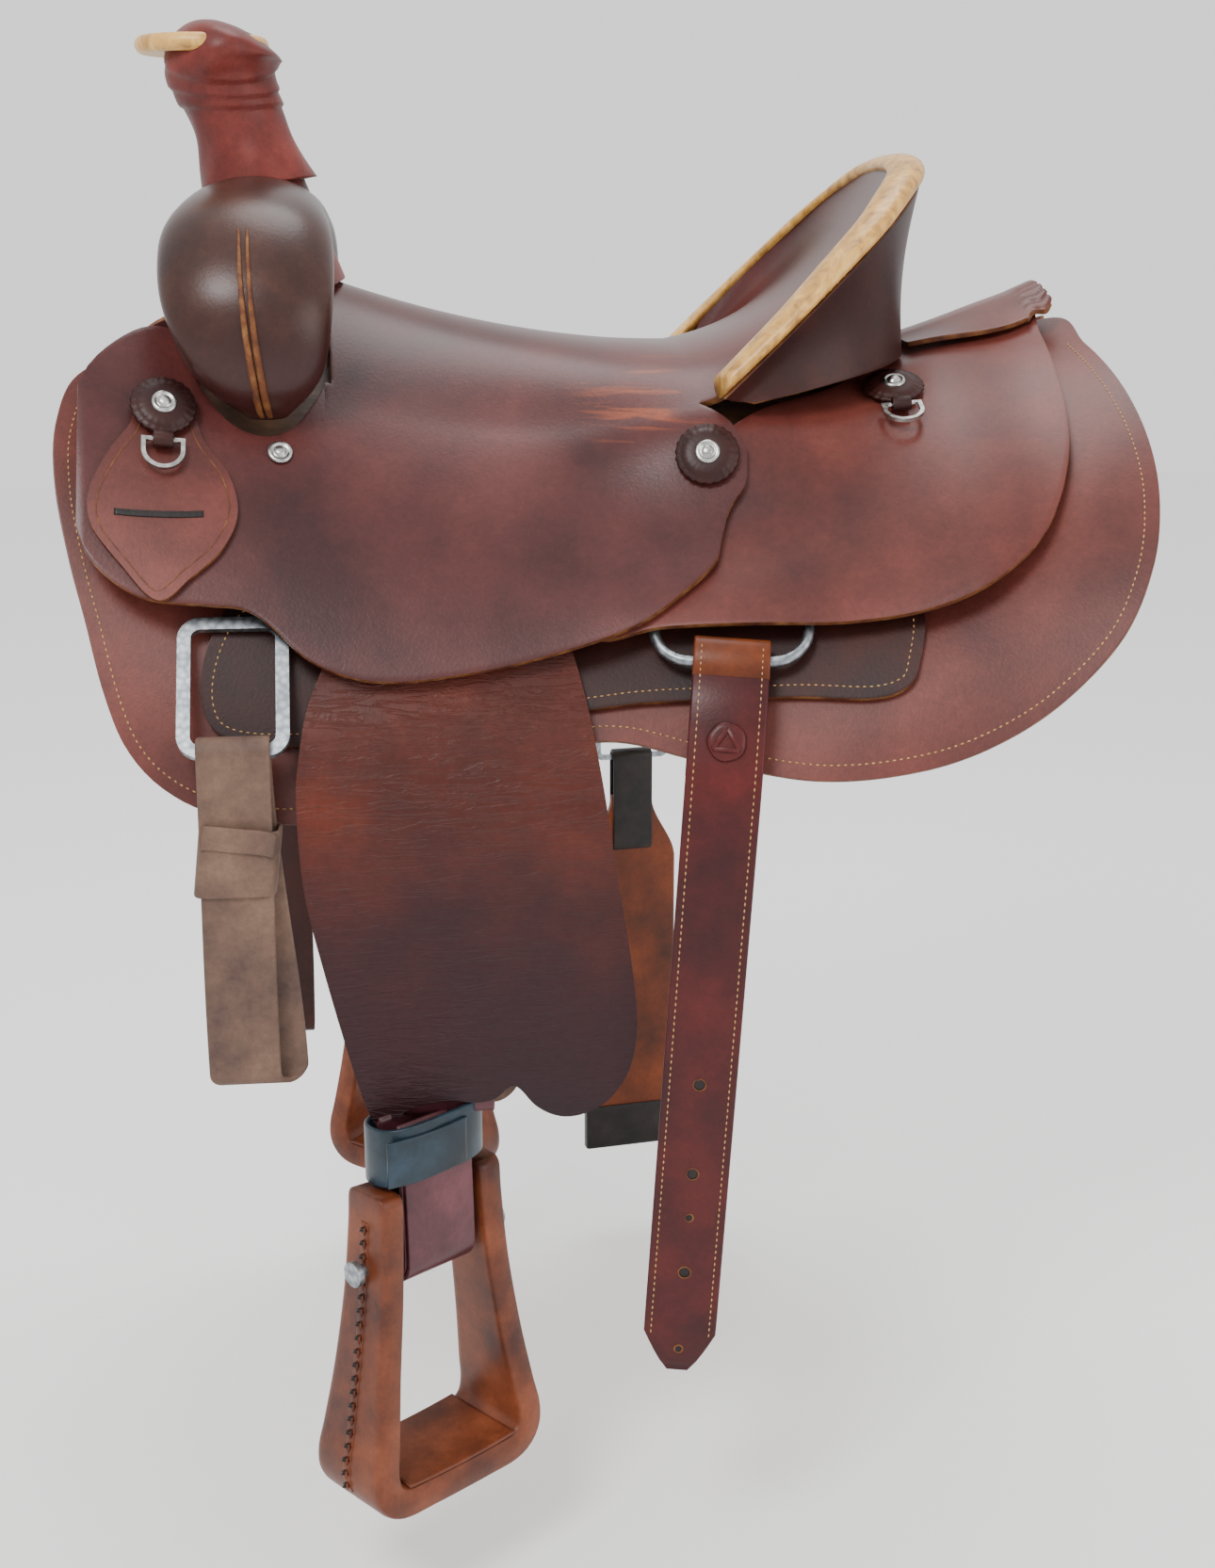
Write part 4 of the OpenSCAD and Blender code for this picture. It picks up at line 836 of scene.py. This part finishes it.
# Wrap: a soft tube from the swell up the neck and over the back of the cap. Each station is
# centre x, z, half length, half width and the tilt of its ring
WRAP = [(-230, 144, 38, 33, -9), (-234, 158, 34, 31.5, -9), (-239, 173, 30.5, 29.5, -9),
        (-243, 186, 30, 29.5, -9), (-247, 199, 31, 31.5, -9), (-250, 209, 33, 36, -8),
        (-251, 217, 35.5, 42, -4), (-249, 224, 36, 45, 3), (-246, 230, 34, 44.5, 13),
        (-242, 235, 29, 41, 20), (-239, 238.5, 19, 31, 24), (-238, 240.5, 8, 15, 24)]
WRAP_ROWS, WRAP_N = 90, 64
wrap_line = curve(WRAP, WRAP_ROWS)
g = np.linspace(0, 2 * pi, WRAP_N, endpoint=False)[None, :]
tilt = np.radians(wrap_line[:, 4:5])
rx, ry = wrap_line[:, 2:3], wrap_line[:, 3:4]
# Three raised laps climb round the neck: a lap is a step in the radius across a slanting line
LAP = 2.0
high = wrap_line[:, 1:2]
laps = sum(LAP * smooth((high - h0 - k * np.cos(g - p)) / 1.3)
           - LAP * smooth((high - h0 - k * np.cos(g - p) - 1.3) / 15)
           for h0, k, p in ((193, 5, 2.6), (204, 9, 2.2), (217, 13, 2.0)))
soft = 0.5 * np.sin(3 * g + high / 9) + 0.35 * np.sin(7 * g - high / 6)
wrap_points = vec(wrap_line[:, 0:1] + (rx + laps + soft) * np.cos(g) * np.cos(tilt),
                  (ry + laps + soft) * np.sin(g),
                  high + (rx + laps) * np.cos(g) * -np.sin(tilt))
wrap = put("mulehide_horn_wrap", wrap_points.reshape(-1, 3), tube(WRAP_ROWS, WRAP_N),
           [MULEHIDE], "saddle")
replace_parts(wrap, "horn_wrap")

# Slick skirt of the wrap behind the fork, down to the seat
u, v = np.meshgrid(np.linspace(0, 1, 40), np.linspace(-1, 1, 41), indexing="ij")
tongue_half = mix(27, 66, smooth(u)) * (1 - 0.12 * u)
tongue = vec(mix(-207, -178, u) - 26 * v ** 2 * (1 - 0.3 * u),
             tongue_half * v, mix(158, 84, u) - 10 * v ** 2)
thicken(put("horn_wrap_tail", tongue.reshape(-1, 3), [quads(*u.shape)], [MULEHIDE, EDGE],
            "saddle"), 2.4)

# ---- keeper for the latigo, rosettes, screws and tabs ----------------------------------
KEEPER_LINE = [(-290, 124), (-302, 138), (-306, 156), (-318, 178), (-329, 206), (-328, 226),
               (-312, 242), (-290, 256), (-270, 236), (-252, 214), (-243, 190), (-248, 168),
               (-262, 152), (-268, 138), (-276, 124)]


def keeper_top(x, s):
    return drape(x, s, 44 + LEATHER_T + 4.8)


keeper_outline = curve(KEEPER_LINE, 160, closed=True)
keeper = star("latigo_keeper_leather", keeper_outline, (-286, 190), keeper_top, 4,
              [SKIRTING, EDGE], "saddle", -1, rings=16, edge=0.9)
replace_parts(keeper, "latigo_keeper")


def surface_frame(lay, x, s):
    """Place on a surface with its along, down and outward directions."""
    p = lay(x, s)
    down = unit(lay(x, s + 2) - lay(x, s - 2))
    outw = unit(np.cross(lay(x + 2, s) - lay(x - 2, s), down))
    return p, np.cross(down, outw), down, outw


def on(spot):
    """Puts local points on a spot's frame."""
    p, along, down, outw = spot
    return lambda q: p + q[:, :1] * along + q[:, 1:2] * down + q[:, 2:] * outw


# Slot of the keeper: a black strip of painted shade where the slot opens
slot_frame = surface_frame(keeper_top, -289, 205)
bar = curve([(-26, 0, 0.2), (-13, 0.8, 0.3), (0, 1, 0.3), (13, 0.8, 0.3), (26, 0, 0.2)], 30)
sweep("latigo_keeper_slot_shade", on(slot_frame)(bar), slot_frame[2], strip(4.2, 1.2, 0.5), [BLACK_AND_SHADE],
      "saddle", -1)
seam_line = inset(keeper_outline, 5)
lip = keeper_top(seam_line[:, 0], seam_line[:, 1])
sweep("latigo_keeper_border", lip, [1, 0.01, 0], strip(0.9, 0.7, 0.3), [EDGE], "saddle",
      -1, closed=True)

SPOTS = {"front": (-288, 140, 48.5), "plain": (-218, 142, 48.5), "mid": (45, 130, 48.5),
         "rear": (175, 84, 41.5)}
KEEPER_RISE = 5


def spot_frame(name):
    x, s, d = SPOTS[name]
    return surface_frame(lambda a, b: raised(a, b, d), x, s)


def lifted(name, side, rise):
    p, along, down, outw = spot_frame(name)
    extra = KEEPER_RISE if side < 0 and name == "front" else 0
    return p + outw * (rise + extra), along, down, outw


def petals(count, depth):
    return lambda angle_, row: 1 + depth * np.abs(np.sin(angle_ * count / 2)) * (row < 5)


rosette_profile = np.array([[18.5, 0.0], [19.3, 0.8], [18.4, 2.2], [16.4, 2.0], [15.5, 3.1],
                            [12.5, 4.3], [8.5, 4.6], [1, 4.4]])
screw_profile = np.array([[7.6, 0], [7.8, 1.0], [7.0, 2.0], [5.4, 2.2], [5.0, 1.5], [3.9, 1.5],
                          [3.4, 2.9], [2.2, 3.5], [0.5, 3.6]])
for side, hand in HAND.items():
    for name, rise in (("front", 3.4), ("rear", 3.4), ("mid", 3.0)):
        turned(f"rosette_{name}_{hand}", rosette_profile, 96, on(lifted(name, side, rise)),
               [PLATE], "saddle", petals(22, 0.05), side)
    for name, rise in (("front", 7.4), ("rear", 7.4), ("mid", 7.0), ("plain", 0.8)):
        turned(f"screw_{name}_{hand}", screw_profile, 48, on(lifted(name, side, rise)),
               [NICKEL], "saddle", side=side)
    for name in ("front", "rear"):
        tab_line = curve([(0, -6, 1.7), (0, 6, 1.7), (0, 18, 2.0), (0, 23, 1.9),
                          (0, 28, 3.2), (0, 29, 6.2), (0, 26, 8.8), (0, 22, 8.2),
                          (0, 20.6, 6.6)], 40)
        place = lifted(name, side, 0.2)
        sweep(f"dee_tab_{name}_{hand}", on(place)(tab_line), place[1], strip(12, 1.8, 0.6),
              [PLATE], "saddle", side)
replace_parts(bpy.data.objects["rosette_front_left"], "rosettes")
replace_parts(bpy.data.objects["screw_front_left"], "concho_screws")
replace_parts(bpy.data.objects["dee_tab_front_left"], "dee_tabs")

# ---- rigging: latigo, off billet, flank billets, cinch ---------------------------------
DEE_X, DEE_S, DEE_D, DEE_TILT, DEE_REACH = -248, 250, 30.5, 9.5, 84
dee_fall = math.radians(float(slope(DEE_X, DEE_S)) - DEE_TILT)
DEE_END = drape(DEE_X, DEE_S, DEE_D) + DEE_REACH * np.array(
    [0, math.cos(dee_fall), -math.sin(dee_fall)])


def loop_path(height, gap, t, top_z=0.0):
    """Closed upright loop of strap in the Y-Z plane through its middle thickness."""
    r = gap / 2 + t / 2
    turn = np.radians(np.arange(0, 181, 15))
    low = gap / 2 - height
    upper = vec(0 * turn, r * np.cos(turn), r * np.sin(turn) + top_z)
    lower = vec(0 * turn, -r * np.cos(turn), low - r * np.sin(turn))
    down = np.linspace(0, 1, 24)[1:-1, None]
    return np.vstack([upper, upper[-1] + (lower[0] - upper[-1]) * down, lower,
                      lower[-1] + (upper[0] - lower[-1]) * down])


def wander(path, amount, turn=0.0):
    """Lets a hanging strap bow a little, nothing at its top, and carries the lower end of
    its inner leaf rearwards by turn."""
    low = -path[:, 2].min()
    fall = np.clip(-path[:, 2] / low, 0, 1)
    inner = 0.5 - 0.5 * path[:, 1] / path[:, 1].max()
    return path + vec(amount[0] * np.sin(fall * 2.6) * fall + turn * inner * smooth(fall),
                      amount[1] * np.sin(fall * pi), 0 * fall)


latigo_path = DEE_END + wander(loop_path(205, 11, 4), (-2, 1.5), 16)
latigo = sweep("latigo_strap", latigo_path, [1, 0, 0], strip(43, 3.6, 1.4), [LATIGO],
               "latigo_left", -1, closed=True)
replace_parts(latigo, "latigo_left")
# Keeper wrap of the latigo: one turn round both layers, its end lapped over slantwise
turn_c = np.radians(np.arange(0, 360, 6))
keeper_ring = DEE_END + vec(23.2 * np.sign(np.cos(turn_c)) * np.abs(np.cos(turn_c)) ** 0.35,
                            12.2 * np.sign(np.sin(turn_c)) * np.abs(np.sin(turn_c)) ** 0.5,
                            -66 + 0 * turn_c)
sweep("latigo_keeper_wrap", keeper_ring, [0.12, 0, 1], strip(40, 2.6, 1.0), [LATIGO],
      "latigo_left", -1, closed=True)
tail = DEE_END + curve([(-20, 12.5, -48), (0, 14.3, -50), (16, 14.6, -52), (22.5, 12.8, -55)], 24)
sweep("latigo_wrap_end", tail, [0.2, 0, 1], strip(15, 2.2, 1.0), [LATIGO], "latigo_left",
      -1)
off_path = DEE_END + wander(loop_path(360, 11, 4), (6, 1.5))
off_billet = sweep("off_billet_strap", off_path, [1, 0, 0], strip(42, 4, 1.4), [PLATE],
                   "off_billet_right", 1, closed=True)
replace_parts(off_billet, "off_billet_right")


def ring_on(size, centre_, outw, name, skin, body, side=1):
    """Rolled lip of a punched hole."""
    g_ = np.linspace(0, 2 * pi, 24, endpoint=False)
    up = unit(np.cross(outw, [1.0, 0.0, 0.0]))
    acr = np.cross(up, outw)
    return sweep(name, centre_ + size * (np.cos(g_)[:, None] * acr + np.sin(g_)[:, None] * up),
                 outw, strip(1.0, 1.2, 0.4), [skin], body, side, closed=True)


RING_END = drape(50, 249, 38.3)
RING_SLOPE, RING_YAW = 46, math.radians(9)
FOLD_R, FOLD_RISE, STRAP_T = 4.9, 6, 4
STEPS = [(RING_SLOPE, 22), (52, 8), (60, 8), (68, 10), (71, 22), (76, 10), (84, 10)]


def billet_path(off, steps):
    """Points down the billet's side view, off outwards: [y, z] of each step's end."""
    fall = np.radians([s[0] for s in steps])
    size = np.array([s[1] for s in steps])
    start = -FOLD_RISE * np.array([math.cos(fall[0]), -math.sin(fall[0])])
    moves = vec(np.cos(fall) * size, -np.sin(fall) * size)
    path = np.vstack([start, start + np.cumsum(moves, axis=0)])
    bent = np.concatenate([fall[:1], (fall[1:] + fall[:-1]) / 2, fall[-1:]])
    return path + off * vec(np.sin(bent), np.cos(bent))


def at_ring(points, lean):
    """Leans a strap in its own plane, yaws it with the ring and moves it there."""
    q = points @ np.array([[math.cos(lean), 0, math.sin(lean)], [0, 1, 0],
                           [-math.sin(lean), 0, math.cos(lean)]]).T
    c, s = math.cos(RING_YAW), math.sin(RING_YAW)
    return vec(c * q[:, 0] - s * q[:, 1], s * q[:, 0] + c * q[:, 1], q[:, 2]) + RING_END


def lean_way(lean):
    return at_ring(np.array([[1.0, 0, 0]]), lean)[0] - RING_END


HOLES = [(258, 3.5), (318, 3.5), (348, 2.2), (386, 3.5), (440, 2.2)]
for side, hand, length, lean, holes in ((-1, "left", 455, math.radians(3.6), HOLES),
                                        (1, "right", 168, math.radians(-3.0), [(150, 3.5)])):
    body = f"flank_billet_{hand}"
    drop = length + billet_path(0, STEPS)[-1, 1]
    mid_t = FOLD_R + STRAP_T / 2
    face = billet_path(mid_t, STEPS + [(90, drop)])
    behind = billet_path(-mid_t, STEPS[:6])
    g_ = np.radians(90 - RING_SLOPE + np.arange(165, 0, -15))
    top_at = -FOLD_RISE * np.array([math.cos(math.radians(RING_SLOPE)),
                                    -math.sin(math.radians(RING_SLOPE))])
    fold = top_at + mid_t * vec(np.cos(g_), np.sin(g_))
    down = face[-1] + (face[-2] - face[-1]) * np.linspace(1, 0, 60)[1:, None]
    yz = np.vstack([behind[::-1], fold, face[:-1], down])
    path = vec(0 * yz[:, 0], yz[:, 0], yz[:, 1])
    tip = np.clip((path[:, 2] + length) / 26, 0, 1)
    width = np.where(np.arange(len(path)) > len(behind), mix(0.3, 1, tip ** 0.8), 1)
    strap = sweep(f"flank_billet_strap_{hand}", at_ring(path, lean), lean_way(lean),
                  strip(46, STRAP_T, 1.3), [BRIDLE], body, side,
                  grow=vec(width, 1 + 0 * width))
    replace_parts(strap, f"flank_billet_{hand}")
    rubbed = path[len(behind) - 1:len(behind) + len(fold) + 2]
    sweep(f"flank_billet_worn_fold_{hand}", at_ring(rubbed, lean), lean_way(lean),
          strip(46.5, STRAP_T + 0.5, 1.4), [RUSSET], body, side)
    shown = path[len(behind) + len(fold):]
    shown = shown[shown[:, 2] > 24 - length]
    outward = np.gradient(shown, axis=0)
    outward = unit(vec(0 * outward[:, 0], -outward[:, 2], outward[:, 1]))
    for edge_side in (-1, 1):
        row = shown + [edge_side * 18.5, 0, 0] + outward * (STRAP_T / 2 + 0.15)
        turned_out = at_ring(outward, lean) - RING_END
        stitches(f"billet_stitching_{'front' if edge_side < 0 else 'rear'}_{hand}",
                 at_ring(row, lean), turned_out, body, "russet_lace", THREAD, side, wide=1.1)
    outw = at_ring(np.array([[0, 1.0, 0]]), lean)[0] - RING_END
    for k, (fall, r) in enumerate(holes):
        centre_ = at_ring(np.array([[0, face[-1, 0] + STRAP_T / 2 + 0.05, -fall]]), lean)[0]
        # Each hole is a black disc of painted shade, set where the punched hole opens in the strap
        disc = np.array([[r, -0.5], [r, 0.25], [r * 0.4, 0.3]])
        p_frame = (centre_, lean_way(lean), np.cross(outw, lean_way(lean)), outw)
        turned(f"billet_hole_{k}_{hand}", disc, 24, on(p_frame), [BLACK_AND_SHADE], body,
               side=side)
        ring_on(r + 0.4, centre_, outw, f"billet_hole_lip_{k}_{hand}", EDGE, body,
                side)
    # Lace button that closes the fold: a leather disc with two laps of lace
    fall71 = math.radians(71)
    knot = billet_path(0, STEPS)[4] + 11 * np.array([math.cos(fall71), -math.sin(fall71)])
    knot = knot + (FOLD_R + STRAP_T + 0.2) * np.array([math.sin(fall71), math.cos(fall71)])
    centre_ = at_ring(np.array([[0, knot[0], knot[1]]]), lean)[0]
    k_out = at_ring(np.array([[0, math.sin(fall71), math.cos(fall71)]]), lean)[0] - RING_END
    k_frame = (centre_, lean_way(lean), np.cross(k_out, lean_way(lean)), k_out)
    button = turned(f"fold_button_{hand}", np.array([[11, 0], [11.6, 1], [10.6, 2.2], [8, 2.5],
                                                     [1, 2.6]]), 40, on(k_frame), [BRIDLE], body,
                    petals(5, 0.05), side)
    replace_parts(button, f"billet_knot_{hand}")
    for k, (x0, y0, x1, y1) in enumerate(((-8, 5, 8, 5), (-8, 5, 0, -8), (0, -8, 8, 5))):
        lace = curve([(x0, y0, 2.3), ((x0 + x1) / 2, (y0 + y1) / 2, 3.9), (x1, y1, 2.3)], 12)
        sweep(f"fold_lace_{k}_{hand}", on(k_frame)(lace),
              np.cross(k_out, unit(on(k_frame)(lace)[-1] - on(k_frame)(lace)[0])),
              strip(2.6, 1.0, 0.4), [BRIDLE], body, side)

# Flank cinch: two layers of russet leather, with a black sewn chape at the buckle
BUCKLE = np.array([150 * math.sin(math.radians(3)), billet_path(0, STEPS)[-1, 0] + 9.3, -150])
CINCH_TOP = at_ring((BUCKLE + [0, 1.7, -32])[None], 0.0)[0]
cinch_across = at_ring(np.array([[1.0, 0, 0]]), 0.0)[0] - RING_END
cinch_out = at_ring(np.array([[0, 1.0, 0]]), 0.0)[0] - RING_END
v = np.linspace(0, 1, 70)
cinch_line = CINCH_TOP + vec(0 * v, 0 * v, -34 - 321 * v)
bulge = mix(0.46, 1, smooth((v - 0.01) / 0.17)) - 0.06 * np.exp(-((v - 1) / 0.05) ** 2)
cinch = sweep("flank_cinch_strap", cinch_line, cinch_across, strip(78, 9, 3.0), [RUSSET],
              "flank_cinch", grow=vec(bulge, 1 + 0 * v))
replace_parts(cinch, "flank_cinch")
chape = loop_path(80, 7.4, 3)
sweep("flank_cinch_chape", CINCH_TOP + chape[:, 1:2] * cinch_out * 1.15 + chape * [0, 0, 1],
      cinch_across, strip(34, 3, 1.2), [BLACK_AND_SHADE], "flank_cinch", closed=True)
for edge_side in (-1, 1):
    row = CINCH_TOP + cinch_across * edge_side * 14 + cinch_out * 6.6 \
        + vec(0 * v, 0 * v, -34 - 40 * v)
    stitches(f"cinch_stitching_{'front' if edge_side < 0 else 'rear'}", row,
             np.broadcast_to(cinch_out, row.shape), "flank_cinch", "russet_lace", THREAD)
end = CINCH_TOP + vec(0 * v, 0 * v, mix(-318, -357, v))
sweep("flank_cinch_end", end, cinch_across, strip(82, 12, 2.5), [BLACK_AND_SHADE], "flank_cinch")

# ---- fenders, stirrup leathers, hobbles ------------------------------------------------
LEG_X = -112
FENDER_LINE = [(-190, -34), (-204, 0), (-210, 28), (-213, 60), (-210, 115), (-199, 170),
               (-185, 228), (-176, 258), (-170, 268), (-160, 263), (-148, 256), (-128, 252),
               (-110, 254), (-98, 252), (-88, 244), (-82, 246), (-73, 257), (-62, 264),
               (-50, 266), (-36, 262), (-24, 253), (-13, 234), (-9, 205), (-13, 162),
               (-22, 105), (-30, 50), (-38, 0), (-46, -34)]
top_edge = [(x, -34) for x in np.linspace(-60, -176, 9)]
fender_outline = np.vstack([curve(FENDER_LINE, 260), top_edge])


def fender_top(x, q):
    warp = 1.6 * np.sin((x + 112) / 60) * smooth(q / 120) + 0.5 * np.sin(q / 23 + x / 40)
    return hang(x, q, 2 + 2.6 * smooth(-q / 30) + warp * smooth(q / 60))


BOLT = np.array([-142, LINE_Y - 5, -506])
YAW = math.radians(-38)
W_WAY = np.array([math.cos(YAW), math.sin(YAW), 0])
F_WAY = np.array([-math.sin(YAW), math.cos(YAW), 0])


def at_bolt(p):
    """Local x along the bolt, y outwards, z up."""
    return BOLT + p[:, :1] * W_WAY + p[:, 1:2] * F_WAY + p[:, 2:] * np.array([0, 0, 1])


for side, hand in HAND.items():
    body, leg, foot_body = f"fender_{hand}", f"leg_{hand}", f"stirrup_{hand}"
    fender = star(f"fender_leather_{hand}", fender_outline, (-112, 110), fender_top, 4,
                  [FENDER, EDGE], None, side, rings=36, edge=1.0)
    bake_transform(fender)
    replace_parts(fender, f"fender_{hand}")

    s = np.linspace(172, 266, 30)
    upper = drape(LEG_X + 0 * s, s, 30)
    strap = sweep(f"upper_stirrup_leather_{hand}", upper, [1, 0, 0], strip(60, 4, 1.2),
                  [RUSSET], leg, side)
    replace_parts(strap, f"stirrup_leather_{hand}")
    q = np.linspace(20, 262, 60)
    lower = hang(LEG_X - q * 0.06, q, -5.0)
    sweep(f"lower_stirrup_leather_{hand}", lower, [1, 0, 0], strip(60, 3.6, 1.2), [PLUM], body,
          side)

    # Loop round the bolt: two leaves of strap, one outside the other
    for k, (r, top_z) in enumerate(((11.4, 92), (14.6, 88))):
        g_ = np.radians(np.arange(0, -181, -12))
        bend = vec(0 * g_, r * np.cos(g_), r * np.sin(g_))
        rise = np.linspace(top_z, 4, 20)
        outer = vec(0 * rise, r - 2.5 * smooth(rise / 90), rise)
        path = np.vstack([outer, bend, (outer * [1, -1, 1])[::-1]])
        loop = sweep(f"stirrup_strap_loop_{k}_{hand}", at_bolt(path), W_WAY,
                     strip(56 - 2 * k, 2.9, 1.0), [PLUM], body, side)
    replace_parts(loop, f"stirrup_loop_{hand}")

    g_ = np.radians(np.arange(0, 360, 6))
    ring_path = vec(38.5 * np.sign(np.cos(g_)) * np.abs(np.cos(g_)) ** 0.6,
                    21.5 * np.sign(np.sin(g_)) * np.abs(np.sin(g_)) ** 0.8,
                    75 + 3.5 * np.sin(g_ + 0.8))
    hobble = sweep(f"hobble_strap_band_{hand}", at_bolt(ring_path), [0, 0, 1],
                   strip(38, 3.2, 1.2), [HOBBLE], body, side, closed=True)
    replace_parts(hobble, f"hobble_strap_{hand}")
    reach = np.linspace(14, -43, 30)
    lap = vec(reach, 24.6 - 0.004 * reach ** 2, np.linspace(76, 73, 30))
    sweep(f"hobble_strap_tongue_{hand}", at_bolt(lap), [0, 0, 1], strip(30, 2.4, 1.0),
          [HOBBLE], body, side)

    # Small leather tab between the fender's lower lobes
    g_ = np.linspace(0, 2 * pi, 40, endpoint=False)
    tab = curve([(-118, 232), (-116, 248), (-106, 257), (-94, 258), (-84, 250), (-80, 236),
                 (-98, 226)], 50, closed=True)
    star(f"fender_tab_{hand}", tab, (-99, 241), lambda x, q_: hang(x, q_, -7.6), 2.4,
         [LATIGO, EDGE], body, side, rings=6, edge=0.6)

    # Stirrup: a bent-wood bow covered in leather, laced down the outer faces
    half = np.array([(-39.5, 50, 17, 26), (-39.7, 46, 17, 35), (-40.2, 26, 17, 37),
                     (-43.5, -19, 17.2, 41), (-50, -69, 17.6, 48), (-56, -109, 18, 58),
                     (-59.5, -130, 19, 63), (-57, -144, 21, 64), (-46, -152, 22, 64),
                     (-22, -153.3, 21.5, 64), (0, -153.5, 21.5, 64)], float)
    full = np.vstack([half, (half * [-1, 1, 1, 1])[-2::-1]])
    bow_line = curve(full, 170)
    path = vec(bow_line[:, 0], 0 * bow_line[:, 0], bow_line[:, 1])
    unit_strip = strip(1, 1, 0.11)
    bow_piece = sweep(f"stirrup_leather_cover_{hand}", at_bolt(path), F_WAY, unit_strip,
                      [STIRRUP], foot_body, side,
                      grow=vec(bow_line[:, 3], bow_line[:, 2]))
    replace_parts(bow_piece, f"stirrup_{hand}")
    for post, name in ((-1, "front"), (1, "rear")):
        k = np.arange(8, 66)
        post_line = bow_line[k]
        along = np.gradient(post_line[:, :2], axis=0)
        along /= np.linalg.norm(along, axis=1)[:, None]
        outw = vec(along[:, 1], 0 * k, -along[:, 0])
        centre_ = vec(post_line[:, 0], 0 * k, post_line[:, 1]) \
            + outw * (post_line[:, 2] / 2)[:, None]
        centre_ = centre_ * [-post, 1, 1]
        outw = outw * [-post, 1, 1]
        outw_world = outw[:, :1] * W_WAY + outw[:, 2:] * np.array([0, 0, 1.0])
        sweep(f"stirrup_seam_{name}_{hand}", at_bolt(centre_ - outw * 0.2), F_WAY,
              strip(7, 1.8, 0.8), [STIRRUP], foot_body, side)
        # The black stitches under the lace are painted shade in the lace holes down each post
        stitches(f"stirrup_lacing_{name}_{hand}", at_bolt(centre_ + outw * 0.9), outw_world,
                 foot_body, "russet_lace", BLACK_AND_SHADE, side, pitch=9.0, long=4.6, wide=7.0)
        stitches(f"stirrup_lace_{name}_{hand}", at_bolt(centre_ + outw * 1.6
                 + np.array([0, 1.8, 0])), outw_world, foot_body,
                 "russet_lace", RUSSET, side, pitch=9.0, long=8.5, wide=2.4)
    # Tread leather laid over the foot of the bow
    across = np.linspace(-44, 44, 40)
    tread = vec(across, 0 * across, -142.2 + 0.0008 * across ** 2)
    sweep(f"stirrup_tread_{hand}", at_bolt(tread), F_WAY, strip(64, 2.4, 1.0), [STIRRUP],
          foot_body, side)

# ---- finishes of the parts carried over from the frame ---------------------------------
# The horn core takes the near-black iron as painted shade for the gaps where it shows through the
# wrap
CARRIED = {"tree_bar": TREE, "cantle_board": TREE, "ground_seat": TREE, "horn_core": HORN_IRON_PAINTED_SHADE,
           "rear_ring": ZINC, "saddle_dee": NICKEL, "front_dee": ZINC, "stirrup_bolt": ZINC,
           "flank_cinch_buckle": ZINC}
for name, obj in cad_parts.items():
    for start, skin in CARRIED.items():
        if name.startswith(start):
            obj.data.materials.clear()
            obj.data.materials.append(skin)

# ---- studio ----------------------------------------------------------------------------
made, tree = material("pale_floor_paint")
paint = add(tree, "ShaderNodeBsdfPrincipled", {"Base Color": grey(0.95), "Roughness": 0.9})
add(tree, "ShaderNodeOutputMaterial", {"Surface": paint.outputs["BSDF"]})
floor = put("floor", np.array([[-6000, -6000, -760], [6000, -6000, -760], [6000, 6000, -760],
                               [-6000, 6000, -760]], float), [np.array([[0, 1, 2, 3]])],
            [made], None)

world = bpy.data.worlds.new("soft_white_room")
bpy.context.scene.world = world
world.use_nodes = True
world.node_tree.nodes["Background"].inputs["Color"].default_value = grey(1.0)
world.node_tree.nodes["Background"].inputs["Strength"].default_value = 1.25


def lamp(name, place, aim, size, power):
    light = bpy.data.lights.new(name, "AREA")
    light.shape, light.size, light.energy = "DISK", size, power
    obj = bpy.data.objects.new(name, light)
    obj.location = place
    obj.rotation_euler = (Vector(aim) - Vector(place)).to_track_quat("-Z", "Y").to_euler()
    bpy.context.scene.collection.objects.link(obj)


lamp("key_light", (-0.9, -1.7, 1.6), (0, 0, 0), 0.8, 44)
lamp("fill_light", (1.6, -1.5, 0.4), (0, 0, -0.2), 1.4, 14)
lamp("top_light", (0.1, 0.5, 2.0), (0, 0, 0), 1.2, 24)

camera = bpy.data.cameras.new("camera")
camera.lens, camera.sensor_width, camera.sensor_fit = 47.8, 36.0, "AUTO"
eye = bpy.data.objects.new("camera", camera)
eye.location = (-0.164, -1.440, 0.118)
eye.rotation_euler = (Vector((0.0, 0.0, -0.27)) - Vector(eye.location)).to_track_quat(
    "-Z", "Y").to_euler()
bpy.context.scene.collection.objects.link(eye)
bpy.context.scene.camera = eye
